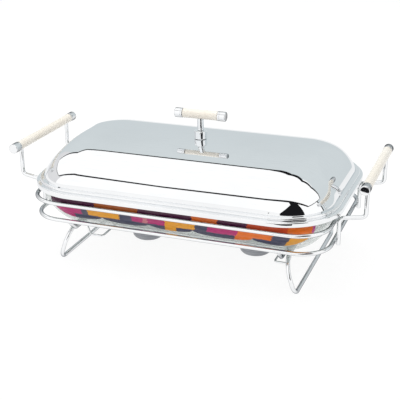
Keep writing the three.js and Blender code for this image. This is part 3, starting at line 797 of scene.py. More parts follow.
@dataclass(frozen=True)
class Outline:
    """A level rounded rectangle about the Z axis."""

    half_length: float
    half_width: float
    corner: float
    height: float

    def ring(self, corner_steps: int = 24, side_steps: int = 20) -> list[Vector]:
        """The outline as a ring of points, with arcs at the corners and evenly parted straight sides.

        Args:
            corner_steps: parts of each corner arc.
            side_steps: parts of each straight side.

        Returns:
            The points, anticlockwise.
        """
        points = []
        for quarter in range(4):
            across = 1 if quarter in (0, 3) else -1
            deep = 1 if quarter < 2 else -1
            centre = Vector((across * (self.half_length - self.corner),
                             deep * (self.half_width - self.corner), self.height))
            for step in range(corner_steps + 1):
                angle = (quarter + step / corner_steps) * math.pi / 2
                points.append(centre + Vector((math.cos(angle), math.sin(angle), 0)) * self.corner)
        full = []
        per_corner = corner_steps + 1
        for quarter in range(4):
            corner_points = points[quarter * per_corner:(quarter + 1) * per_corner]
            start = corner_points[-1]
            end = points[(quarter + 1) % 4 * per_corner]
            full += corner_points
            full += [start.lerp(end, step / side_steps) for step in range(1, side_steps)]
        return full

    def between(self, other: "Outline", share: float) -> "Outline":
        """The outline that lies a share of the way to another.

        Args:
            other: the other outline.
            share: how far towards it, 0 to 1.

        Returns:
            The outline.
        """
        def blend(here: float, there: float) -> float:
            """A value that share of the way."""
            return here + (there - here) * share

        return Outline(blend(self.half_length, other.half_length), blend(self.half_width, other.half_width),
                       blend(self.corner, other.corner), blend(self.height, other.height))


def loft(name: str, outlines: Sequence[Outline], close_along: bool, corner_steps: int = 24,
         side_steps: int = 20) -> Mesh:
    """A skin through outlines: closed on itself, or with flat ends.

    Args:
        name: the mesh's name.
        outlines: the outlines, in order.
        close_along: True where the last one joins the first.
        corner_steps: parts of each corner arc.
        side_steps: parts of each straight side.

    Returns:
        The mesh.
    """
    rings = [outline.ring(corner_steps, side_steps) for outline in outlines]
    points, faces = skin(rings, close_along)
    if not close_along:
        count = len(rings[0])
        last = (len(rings) - 1) * count
        faces.append(tuple(range(count)))
        faces.append(tuple(last + step for step in range(count)))
    return tidy_mesh(name, points, faces)


def rounded(corners: Sequence[tuple[float, float, float]], closed: bool = False,
            steps: int = 5) -> list[Point]:
    """Rounds a profile's corners.

    Args:
        corners: across, up and rounding radius of each corner.
        closed: True where the last corner joins the first.
        steps: parts of each rounding arc.

    Returns:
        The profile's points.
    """
    points: list[Point] = []
    count = len(corners)
    for index, (x, y, radius) in enumerate(corners):
        here = Vector((x, y))
        if radius <= 0 or (not closed and index in (0, count - 1)):
            points.append((x, y))
            continue
        to_before = Vector(corners[index - 1][:2]) - here
        to_after = Vector(corners[(index + 1) % count][:2]) - here
        inner = to_before.angle(to_after)
        reach = min(radius / math.tan(inner / 2), to_before.length * 0.49, to_after.length * 0.49)
        start = here + to_before.normalized() * reach
        end = here + to_after.normalized() * reach
        for step in range(steps + 1):
            share = step / steps
            bent = start.lerp(here, share).lerp(here.lerp(end, share), share)
            points.append((bent.x, bent.y))
    return points


def arc(centre: Point, radius: float, start: float, end: float, steps: int) -> list[Point]:
    """Points along an arc, its angles in degrees."""
    angles = [math.radians(start + (end - start) * step / steps) for step in range(steps + 1)]
    return [(centre[0] + radius * math.cos(angle), centre[1] + radius * math.sin(angle)) for angle in angles]


def turn_angles(segments: int) -> list[float]:
    """Evenly spaced angles round a circle."""
    return [2 * math.pi * step / segments for step in range(segments)]


def circle(radius: float, height: float, segments: int) -> list[Vector]:
    """A level ring of points about the Z axis."""
    return [Vector((radius * math.cos(angle), radius * math.sin(angle),
                    height)) for angle in turn_angles(segments)]


def turn(name: str, profile: Sequence[Point], place: Matrix, segments: int = 72,
         sharp: float = SHARP_EDGE) -> Mesh:
    """Turns a profile about the Z axis and puts the result in place.

    Args:
        name: the mesh's name.
        profile: radius and height of each point; it starts and ends on the axis, or closes on itself.
        place: where the turned shape goes.
        segments: steps round the axis.
        sharp: edges that turn by more than this stay crisp.

    Returns:
        The mesh.
    """
    on_axis = profile[0][0] < 1e-9 and profile[-1][0] < 1e-9
    rings = [[place @ point for point in circle(radius, height, segments)] for radius, height in profile]
    points, faces = skin(rings, close_along=not on_axis)
    return tidy_mesh(name, points, faces, sharp)


# Geometry node tools
class NodeTool:
    """A Geometry Nodes tree with named inputs, which is run on an object and gives a plain mesh."""

    def __init__(self, name: str, inputs: Sequence[tuple[str, str]]) -> None:
        """Starts the tree.

        Args:
            name: the tree's name.
            inputs: name and socket type of each input after the geometry.
        """
        self.tree = bpy.data.node_groups.new(name, "GeometryNodeTree")
        interface = self.tree.interface
        interface.new_socket("Geometry", in_out="INPUT", socket_type="NodeSocketGeometry")
        interface.new_socket("Geometry", in_out="OUTPUT", socket_type="NodeSocketGeometry")
        self.sockets = {}
        for label, kind in inputs:
            self.sockets[label] = interface.new_socket(label, in_out="INPUT", socket_type=kind).identifier
        self.graph = Graph(self.tree)
        self.given = self.graph.add("NodeGroupInput")

    def finish_with(self, geometry: NodeSocket) -> None:
        """Ends the tree: real geometry, smooth faces and the finish.

        Args:
            geometry: the geometry to end with.
        """
        real = self.graph.add("GeometryNodeRealizeInstances", {0: geometry})
        smooth = self.graph.add("GeometryNodeSetShadeSmooth", {0: real.outputs[0]})
        dressed = self.graph.add("GeometryNodeSetMaterial", {
            "Geometry": smooth.outputs[0], "Material": self.given.outputs["Finish"]})
        self.graph.add("NodeGroupOutput", {0: dressed.outputs[0]})

    def run(self, source: Object, values: dict[str, object], name: str, sharp: float = SHARP_EDGE) -> Mesh:
        """Runs the tree on an object, and removes the object.

        Args:
            source: the object that carries the curve or points.
            values: input name to value.
            name: the new mesh's name.
            sharp: edges that turn by more than this stay crisp.

        Returns:
            A plain mesh with doubles merged and faces outward.
        """
        modifier = source.modifiers.new(self.tree.name, "NODES")
        modifier.node_group = self.tree
        for label, value in values.items():
            modifier[self.sockets[label]] = value
        bpy.context.view_layer.update()
        evaluated = source.evaluated_get(bpy.context.evaluated_depsgraph_get())
        mesh = bpy.data.meshes.new_from_object(evaluated)
        source.modifiers.remove(modifier)
        bpy.data.objects.remove(source)
        mesh.name = name
        seal(mesh, doubles=1e-7)
        mesh.set_sharp_from_angle(angle=sharp)
        return mesh


class WireDrawing(NodeTool):
    """Draws a round wire along a curve whose point radius thins it towards its rounded ends."""

    def __init__(self) -> None:
        """Builds the tree."""
        super().__init__("wire_drawing", [
            ("Wire Radius", "NodeSocketFloat"), ("Round Steps", "NodeSocketInt"),
            ("Finish", "NodeSocketMaterial")])
        graph, given = self.graph, self.given
        section = graph.add("GeometryNodeCurvePrimitiveCircle", {
            "Resolution": given.outputs["Round Steps"], "Radius": given.outputs["Wire Radius"]})
        girth = graph.add("GeometryNodeInputRadius")
        drawn = graph.add("GeometryNodeCurveToMesh", {
            "Curve": given.outputs["Geometry"], "Profile Curve": section.outputs["Curve"],
            "Scale": girth.outputs[0], "Fill Caps": True})
        self.finish_with(drawn.outputs[0])


class WeldBeads(NodeTool):
    """Sets a small bead of weld at each point, drawn out along the point's own direction."""

    SEED = 7

    def __init__(self) -> None:
        """Builds the tree."""
        super().__init__("weld_beads", [
            ("Bead Radius", "NodeSocketFloat"), ("Bead Length", "NodeSocketFloat"),
            ("Finish", "NodeSocketMaterial")])
        graph, given = self.graph, self.given
        ball = graph.add("GeometryNodeMeshUVSphere", {"Segments": 20, "Rings": 12, "Radius": 1.0})
        run = graph.add("GeometryNodeInputNamedAttribute", {"Name": "run"}, data_type="FLOAT_VECTOR")
        turned = graph.add("FunctionNodeAlignRotationToVector", {"Vector": run.outputs[0]}, axis="X")
        vary = graph.add("FunctionNodeRandomValue",
                         {"Min": (0.9, 0.88, 0.88), "Max": (1.1, 1.1, 1.1), "Seed": self.SEED},
                         data_type="FLOAT_VECTOR")
        size = graph.add("ShaderNodeCombineXYZ", {
            0: given.outputs["Bead Length"], 1: given.outputs["Bead Radius"],
            2: given.outputs["Bead Radius"]})
        scaled = graph.add("ShaderNodeVectorMath", {0: size.outputs[0], 1: vary.outputs[0]},
                           operation="MULTIPLY")
        beads = graph.add("GeometryNodeInstanceOnPoints", {
            "Points": given.outputs["Geometry"], "Instance": ball.outputs[0],
            "Rotation": turned.outputs[0], "Scale": scaled.outputs[0]})
        self.finish_with(beads.outputs[0])


class WickBraid(NodeTool):
    """Winds strands round each other along +Z, evenly spaced about the axis."""

    def __init__(self) -> None:
        """Builds the tree."""
        super().__init__("wick_braid", [
            ("Strands", "NodeSocketInt"), ("Strand Radius", "NodeSocketFloat"),
            ("Wind Radius", "NodeSocketFloat"),
            ("Height", "NodeSocketFloat"), ("Turns", "NodeSocketFloat"), ("Finish", "NodeSocketMaterial")])
        graph, given = self.graph, self.given
        helix = graph.add("GeometryNodeCurveSpiral", {
            "Resolution": 18, "Rotations": given.outputs["Turns"],
            "Start Radius": given.outputs["Wind Radius"],
            "End Radius": given.outputs["Wind Radius"], "Height": given.outputs["Height"]})
        section = graph.add("GeometryNodeCurvePrimitiveCircle", {
            "Resolution": 10, "Radius": given.outputs["Strand Radius"]})
        strand = graph.add("GeometryNodeCurveToMesh", {
            "Curve": helix.outputs[0], "Profile Curve": section.outputs["Curve"], "Fill Caps": True})
        row = graph.add("GeometryNodeMeshLine", {"Count": given.outputs["Strands"], "Offset": (0, 0, 0)})
        index = graph.add("GeometryNodeInputIndex")
        step = graph.math("DIVIDE", 2 * math.pi, given.outputs["Strands"])
        angle = graph.math("MULTIPLY", index.outputs[0], step)
        turned = graph.add("ShaderNodeCombineXYZ", {2: angle})
        placed = graph.add("GeometryNodeInstanceOnPoints", {
            "Points": row.outputs[0], "Instance": strand.outputs[0], "Rotation": turned.outputs[0]})
        moved = graph.add("GeometryNodeTransform", {"Geometry": placed.outputs[0]})
        self.finish_with(moved.outputs[0])


@dataclass(frozen=True)
class Bend:
    """A corner of a bent wire, and the radius of its centre line there."""

    at: Vector
    radius: float = 0.0


def mirrored(half: Sequence[tuple[float, float, float, float]]) -> list[Bend]:
    """The bends of a wire whose front half mirrors its back half.

    Args:
        half: x, distance from the middle in y, z and bend radius of each corner, from an end inwards.

    Returns:
        The bends, from the front end to the back end.
    """
    front = [Bend(Vector((x, -y, z)), radius) for x, y, z, radius in half]
    return front + [Bend(Vector((x, y, z)), radius) for x, y, z, radius in reversed(half)]


@dataclass
class Wire:
    """A bent wire: its corners and its section."""

    bends: list[Bend]
    radius: float
    closed: bool = False
    bend_steps: int = 14
    end_round: float = 0.35

    def line(self) -> list[Vector]:
        """The centre line, with an arc at each bend.

        Returns:
            The points.
        """
        if self.closed:
            return [bend.at for bend in self.bends]
        points = [self.bends[0].at]
        for before, here, after in zip(self.bends, self.bends[1:], self.bends[2:]):
            back = (before.at - here.at).normalized()
            ahead = (after.at - here.at).normalized()
            turn_angle = math.pi - back.angle(ahead)
            reach = here.radius * math.tan(turn_angle / 2)
            start = here.at + back * reach
            centre = here.at + (back + ahead).normalized() * (here.radius / math.cos(turn_angle / 2))
            arm = start - centre
            axis = arm.cross(here.at + ahead * reach - centre).normalized()
            for step in range(self.bend_steps + 1):
                points.append(centre + Matrix.Rotation(turn_angle * step / self.bend_steps, 3, axis) @ arm)
        points.append(self.bends[-1].at)
        return points

    def with_round_ends(self, line: list[Vector]) -> list[tuple[Vector, float]]:
        """Adds points near both ends whose girth falls off in a quarter circle.

        Args:
            line: the centre line.

        Returns:
            Each point with its girth.
        """
        if self.closed:
            return [(point, 1.0) for point in line]
        reach = self.radius * self.end_round
        shares = (0.0, 0.12, 0.35, 0.65, 1.0)

        def end(tip: Vector, inner: Vector) -> list[tuple[Vector, float]]:
            """The points of one end, from its tip inwards.

            Args:
                tip: the end's tip.
                inner: the next point inwards.

            Returns:
                Each point with its girth.
            """
            inward = (inner - tip).normalized()
            rows = []
            for share in shares:
                girth = 1 - self.end_round * (1 - math.sqrt(1 - (1 - share) ** 2))
                rows.append((tip + inward * reach * share, girth))
            return rows

        first = end(line[0], line[1])
        last = end(line[-1], line[-2])
        return first + [(point, 1.0) for point in line[1:-1]] + last[::-1]

    def mesh(self, name: str, tool: WireDrawing, finish: Finish, steps: int = 32) -> Mesh:
        """Draws the wire.

        Args:
            name: the mesh's name.
            tool: the wire-drawing tree.
            finish: what the wire is finished in.
            steps: sides of its round section.

        Returns:
            The wire's mesh.
        """
        rows = self.with_round_ends(self.line())
        curve = bpy.data.curves.new(name, "CURVE")
        curve.dimensions = "3D"
        spline = curve.splines.new("POLY")
        spline.points.add(len(rows) - 1)
        for point, (place, girth) in zip(spline.points, rows):
            point.co = (*place, 1.0)
            point.radius = girth
        spline.use_cyclic_u = self.closed
        source = linked(name, curve)
        values = {"Wire Radius": self.radius, "Round Steps": steps, "Finish": finish.material()}
        return tool.run(source, values, name)


# Stand
@dataclass
class WireStand:
    """Two rails, two sled legs, two cradle wires and four handle posts, all of one wire, with their welds."""

    wire: float = 2.5 * MM
    weld_gap: float = 0.3 * MM
    top_corner: float = 42 * MM
    lower_corner: float = 38 * MM
    leg_foot_bend: float = 13 * MM
    leg_shoulder_bend: float = 27 * MM
    leg_end_y: float = 45 * MM
    leg_foot_x: float = 155.3 * MM
    leg_top_x: float = 141.3 * MM
    cradle_knee_y: float = 94 * MM
    cradle_bend: float = 8 * MM
    post_spacing: float = 62 * MM
    post_arm_inner: float = 91 * MM
    post_arm_outer: float = 96.5 * MM
    post_outer_x: float = 226.4 * MM
    post_bend: float = 6 * MM
    weld_places_y: tuple[float, float] = (52 * MM, 80 * MM)
    bead_radius: float = 1.5 * MM
    bead_length: float = 2.6 * MM
    leg_height: float = 45.3 * MM

    def __post_init__(self) -> None:
        """Measures the frame."""
        self.girth = self.wire / math.cos(math.pi / 8)
        top, lower = Extent.of("top_rail"), Extent.of("lower_rail")
        self.top_height = top.middle.z
        self.lower_height = lower.middle.z
        self.top_half = (top.half.x - self.girth, top.half.y - self.girth)
        self.lower_half = (lower.half.x - self.girth, lower.half.y - self.girth)
        self.tool = WireDrawing()

    def build(self) -> None:
        """Makes every wire of the stand and its welds."""
        self.rail("top_rail", self.top_half, self.top_corner, self.top_height)
        self.rail("lower_rail", self.lower_half, self.lower_corner, self.lower_height)
        for side in Side:
            self.leg(side)
            self.cradle(side)
            for depth in Depth:
                self.post(side, depth)
        self.welds()

    def lay(self, node: str, ending: str, bends: list[Bend], closed: bool = False) -> None:
        """Draws one wire of the stand and puts it in for its CAD node."""
        wire = Wire(bends, self.wire, closed=closed)
        replace_node(node, ending, wire.mesh(node, self.tool, STAND_CHROME), STAND_CHROME, "stand")

    def rail(self, node: str, half: tuple[float, float], corner: float, height: float) -> None:
        """One closed rail, by half its length and width, its corner radius and its height."""
        ring = Outline(half[0], half[1], corner, height).ring(32, 12)
        self.lay(node, "wire", [Bend(point) for point in ring], closed=True)

    def leg(self, side: Side) -> None:
        """One leg: a sled bent from a single wire, its runner on the table.

        Args:
            side: which end of the warmer.
        """
        node = f"leg_wire_{side.word}"
        half = Extent.of(node).half.y - self.wire
        foot, top = side.value * self.leg_foot_x, side.value * self.leg_top_x
        self.lay(node, "bent", mirrored([
            (top, self.leg_end_y, self.leg_height, 0.0),
            (top, half, self.leg_height, self.leg_shoulder_bend),
            (foot, half, self.wire, self.leg_foot_bend)]))

    def cradle(self, side: Side) -> None:
        """One wire under the dish, turned up at both ends to the lower rail.

        Args:
            side: which end of the warmer.
        """
        node = f"cradle_wire_{side.word}"
        x = Extent.of(node).middle.x
        reach = (2 * self.girth + self.weld_gap) * math.sqrt(0.5)
        self.lay(node, "bent", mirrored([
            (x, self.lower_half[1] - reach, self.lower_height - reach, 0.0),
            (x, self.cradle_knee_y, self.leg_height, self.cradle_bend)]))

    def post(self, side: Side, depth: Depth) -> None:
        """One handle post: up the outside of both rails, out along an arm and up into the grip.

        Args:
            side: which end of the warmer.
            depth: which long side.
        """
        node = f"handle_post_{side.word}_{depth.word}"
        box = Extent.of(node)
        inner = side.value * (self.top_half[0] + 2 * self.girth + self.weld_gap)
        outer = side.value * self.post_outer_x
        y = depth.value * self.post_spacing
        self.lay(node, "bent", [
            Bend(Vector((inner, y, box.low.z))),
            Bend(Vector((inner, y, self.post_arm_inner)), self.post_bend),
            Bend(Vector((outer, y, self.post_arm_outer)), self.post_bend),
            Bend(Vector((outer, y, box.high.z)))])

    def welds(self) -> None:
        """Weld beads where posts meet rails and cradle wires meet legs and the lower rail."""
        touch = self.girth + self.weld_gap / 2
        spots = []
        along_y, along_z = Vector((0, 1, 0)), Vector((0, 0, 1))
        for side in Side:
            for depth in Depth:
                for height in (self.top_height, self.lower_height):
                    x = side.value * (self.top_half[0] + touch)
                    spots.append((Vector((x, depth.value * self.post_spacing, height)), along_z))
                cradle_x = Extent.of(f"cradle_wire_{side.word}").middle.x
                beside = side.value * touch
                for y in self.weld_places_y:
                    spots.append((Vector((cradle_x + beside, depth.value * y, self.leg_height)), along_y))
                slant = touch * math.sqrt(0.5)
                corner = Vector((cradle_x, depth.value * (self.lower_half[1] - slant),
                                 self.lower_height - slant))
                spots.append((corner, Vector((1, 0, 0))))
        mesh = bead_mesh("stand_welds", spots, self.bead_radius, self.bead_length, STAND_CHROME)
        new_piece("stand_welds", mesh, STAND_CHROME, "stand")


def bead_mesh(name: str, spots: Sequence[tuple[Vector, Vector]], radius: float, length: float,
              finish: Finish) -> Mesh:
    """Weld beads at given spots.

    Args:
        name: the mesh's name.
        spots: place and direction of each bead.
        radius: half of a bead's width.
        length: half of a bead's length.
        finish: what the beads are finished in.

    Returns:
        The beads' mesh.
    """
    mesh = bpy.data.meshes.new(name)
    mesh.from_pydata([tuple(place) for place, _ in spots], [], [])
    run = mesh.attributes.new("run", "FLOAT_VECTOR", "POINT")
    run.data.foreach_set("vector", [value for _, way in spots for value in way])
    source = linked(name, mesh)
    values = {"Bead Radius": radius, "Bead Length": length, "Finish": finish.material()}
    return WeldBeads().run(source, values, name)


# Grips
@dataclass
class GripBar:
    """An ivory sleeve between two chrome caps on a rod: a carrying grip, or the lid's handle."""

    sleeve_node: str
    cap_nodes: tuple[str, str]
    body: str
    finish: Finish
    axis: int
    edge: float = 0.8 * MM
    waist: float = 0.12 * MM
    groove: float = 0.35 * MM
    bore: float = 2.9 * MM
    cap_end: float = 3 * MM
    cap_round: float = 1.3 * MM

    def __post_init__(self) -> None:
        """Measures the sleeve and finds the bar's axis."""
        self.sleeve = Extent.of(self.sleeve_node)
        lengthwise = self.axis == 0
        quarter = Matrix.Rotation(math.pi / 2 if lengthwise else -math.pi / 2, 4, "Y" if lengthwise else "X")
        self.place = Matrix.Translation(self.sleeve.middle) @ quarter

    def build(self) -> None:
        """Makes the sleeve and both caps."""
        half = self.sleeve.half[self.axis]
        across = 2 if self.axis == 0 else 0
        radius = self.sleeve.half[across]
        shares = [step / 12 - 1 for step in range(25)]
        reach = half - self.edge * 0.6
        outer = [(radius - self.waist * (1 - abs(share) ** 4), share * reach) for share in shares]
        face = radius - self.edge
        profile = [(self.bore, -half), (face, -half)] + outer + [(face, half), (self.bore, half)]
        mesh = turn(self.sleeve_node, profile, self.place)
        replace_node(self.sleeve_node, "moulding", mesh, self.finish, self.body)
        for node, sign in zip(self.cap_nodes, (-1, 1)):
            self.cap(node, sign)

    def cap(self, node: str, sign: int) -> None:
        """One chrome cap: a turned ferrule with a groove near its mouth and a softly crowned end.

        Args:
            node: the cap's CAD node.
            sign: -1 or 1, the end it closes.
        """
        box = Extent.of(node)
        across = 2 if self.axis == 0 else 0
        radius = box.half[across]
        centre = self.sleeve.middle[self.axis]
        tip = sign * ((box.high if sign > 0 else box.low)[self.axis] - centre)
        mouth = tip - 2 * box.half[self.axis]
        floor = tip - self.cap_end
        outer = rounded([
            (self.bore, mouth, 0), (radius, mouth, 0.25 * MM), (radius, mouth + 1.6 * MM, 0.1 * MM),
            (radius - self.groove, mouth + 1.9 * MM, 0.1 * MM),
            (radius - self.groove, mouth + 2.5 * MM, 0.1 * MM),
            (radius, mouth + 2.8 * MM, 0.1 * MM), (radius, tip - 0.15 * MM, self.cap_round), (0, tip, 0)],
            steps=6)
        inner = [(0, floor), (self.bore, floor)]
        flip = Matrix.Rotation(math.pi, 4, "X") if sign < 0 else Matrix.Identity(4)
        mesh = turn(node, inner + outer, self.place @ flip)
        replace_node(node, "ferrule", mesh, CAP_CHROME, self.body)


# Candle rack, cups and candles
@dataclass
class CandleRack:
    """Two end wires hung under the legs and two long wires that carry the cups."""

    wire: float = 1.25 * MM
    weld_gap: float = 0.3 * MM
    knee_x: float = 134 * MM
    top_x: float = 141.3 * MM
    height: float = 20.5 * MM
    half_length: float = 117 * MM
    half_span: float = 57 * MM
    bend: float = 4 * MM
    bead_radius: float = 0.9 * MM
    bead_length: float = 1.6 * MM

    def build(self, tool: WireDrawing) -> None:
        """Makes the four wires and their welds.

        Args:
            tool: the wire-drawing tree.
        """
        girth = self.wire / math.cos(math.pi / 8)
        spots = []
        for side in Side:
            node = f"rack_end_wire_{side.word}"
            high = Extent.of(node).high.z - girth * 0.35
            span = self.half_span
            half = [(self.top_x, high), (self.knee_x, self.height), (self.half_length, self.height)]
            path = mirrored([(side.value * x, span, z, self.bend) for x, z in half])
            mesh = Wire(path, self.wire, bend_steps=10).mesh(node, tool, RACK_CHROME, 24)
            replace_node(node, "bent", mesh, RACK_CHROME, "stand")
            for depth in Depth:
                spots.append((Vector((side.value * self.top_x, depth.value * span, high)), Vector((0, 1, 0))))
        for depth in Depth:
            node = f"rack_long_wire_{depth.word}"
            box = Extent.of(node)
            y, z = box.middle.y, box.middle.z
            path = [Bend(Vector((box.low.x, y, z))), Bend(Vector((box.high.x, y, z)))]
            mesh = Wire(path, self.wire).mesh(node, tool, RACK_CHROME, 24)
            replace_node(node, "straight", mesh, RACK_CHROME, "stand")
            touch = (z + self.height) / 2
            spots += [(Vector((side.value * self.half_length, y, touch)), Vector((1, 0, 0))) for side in Side]
        mesh = bead_mesh("rack_welds", spots, self.bead_radius, self.bead_length, RACK_CHROME)
        new_piece("rack_welds", mesh, RACK_CHROME, "stand")


@dataclass
class CandlePlace:
    """One spun cup with its tealight: foil shell, wax and braided wick."""

    side: Side
    cup_edge: float = 7 * MM
    cup_wall: float = 0.8 * MM
    foil_wall: float = 0.5 * MM
    foil_edge: float = 5.2 * MM
    wick_radius: float = 0.8 * MM
    wick_hole: float = 1.1 * MM

    def build(self) -> None:
        """Makes the cup and its candle."""
        self.cup()
        self.shell()
        self.wax()
        self.wick()

    def node(self, part: str) -> str:
        """A CAD node's full name."""
        return f"{self.side.word}_candle_{part}"

    def dished(self, radius: float, edge: float, wall: float, floor: float, lip: list[Point]) -> list[Point]:
        """The profile of a dished wall whose rim follows lip, from the outer face over to the inner one.

        Args:
            radius: outer radius.
            edge: radius of the lower edge.
            wall: wall thickness.
            floor: height of the underside.
            lip: the points over the rim.

        Returns:
            The profile.
        """
        outer = arc((radius - edge, floor + edge), edge, -90, 0, 12)
        inner = arc((radius - edge, floor + edge), edge - wall, 0, -90, 12)
        return [(0.0, floor)] + outer + lip + inner + [(0.0, floor + wall)]

    def cup(self) -> None:
        """The spun cup, with a flat rim that rests on the wires and a bead rolled at its edge."""
        box = Extent.of(self.node("cup"))
        reach, top = box.half.x, box.high.z
        radius = reach - 5 * MM
        underside = top - self.cup_wall
        lip = rounded([
            (radius, underside - 3 * MM, 0), (radius, underside, 0.5 * MM),
            (reach - 1.0 * MM, underside, 0.1 * MM),
            (reach - 0.2 * MM, underside + 0.02 * MM, 0.3 * MM), (reach, top - 0.4 * MM, 0.3 * MM),
            (reach - 0.4 * MM, top, 0.3 * MM), (reach - 1.2 * MM, top - 0.12 * MM, 0.2 * MM),
            (radius + 0.8 * MM, top - 0.12 * MM, 0.3 * MM),
            (radius - self.cup_wall, top - 0.9 * MM, 0.8 * MM),
            (radius - self.cup_wall, underside - 3 * MM, 0)])
        profile = self.dished(radius, self.cup_edge, self.cup_wall, box.low.z, lip)
        centre = (box.middle.x, 0.0, 0.0)
        steel = BrushedSteel(f"cup_steel_{self.side.word}", "cup_steel", centre=centre)
        mesh = turn(self.node("cup"), profile, Matrix.Translation((box.middle.x, 0, 0)), 96)
        replace_node(self.node("cup"), "spun", mesh, steel, f"{self.side.word}_cup")

    def shell(self) -> None:
        """The tealight's foil shell, with its rim curled inwards."""
        box = Extent.of(self.node("shell"))
        radius, top = box.half.x, box.high.z
        curl = 0.45 * MM
        lip = [(radius, top - 1.4 * MM)] + arc((radius - curl, top - curl), curl, 0, 180, 8)
        lip += [(radius - self.foil_wall, top - 1.4 * MM)]
        profile = self.dished(radius, self.foil_edge, self.foil_wall, box.low.z, lip)
        mesh = turn(self.node("shell"), profile, Matrix.Translation((box.middle.x, 0, 0)), 96)
        replace_node(self.node("shell"), "foil", mesh, CANDLE_FOIL, self.body)

    @property
    def body(self) -> str:
        """The body that the candle's pieces ride on."""
        return f"{self.side.word}_candle"

    def wax(self) -> None:
        """The wax, which climbs a little at the shell and at the wick."""
        box = Extent.of(self.node("wax"))
        radius, floor, top = box.half.x, box.low.z, box.high.z
        edge = self.foil_edge - self.foil_wall - 0.3 * MM
        surface = []
        for step in range(17):
            reach = radius + (self.wick_hole - radius) * step / 16
            at_shell = 0.5 * MM * math.exp((reach - radius) / (0.8 * MM))
            at_wick = 0.45 * MM * math.exp((self.wick_hole - reach) / (0.9 * MM))
            rise = at_shell + at_wick
            surface.append((reach, top - 0.5 * MM + rise))
        hole = top - 5.5 * MM
        profile = [(0.0, floor)] + arc((radius - edge, floor + edge), edge, -90, 0, 8) + surface
        profile += [(self.wick_hole, hole), (0.0, hole)]
        mesh = turn(self.node("wax"), profile, Matrix.Translation((box.middle.x, 0, 0)), 72)
        replace_node(self.node("wax"), "fill", mesh, CANDLE_WAX, self.body)

    def wick(self) -> None:
        """The braided wick."""
        box = Extent.of(self.node("wick"))
        source = linked("wick_source", bpy.data.meshes.new("wick_source"))
        strand = self.wick_radius * 0.46
        values = {"Strands": 3, "Strand Radius": strand, "Wind Radius": self.wick_radius - strand,
                  "Height": box.half.z * 2 - 2 * strand, "Turns": 3.0, "Finish": CANDLE_COTTON.material()}
        mesh = WickBraid().run(source, values, self.node("wick"))
        mesh.transform(Matrix.Translation((box.middle.x, 0, box.low.z + strand)))
        replace_node(self.node("wick"), "braid", mesh, CANDLE_COTTON, self.body)


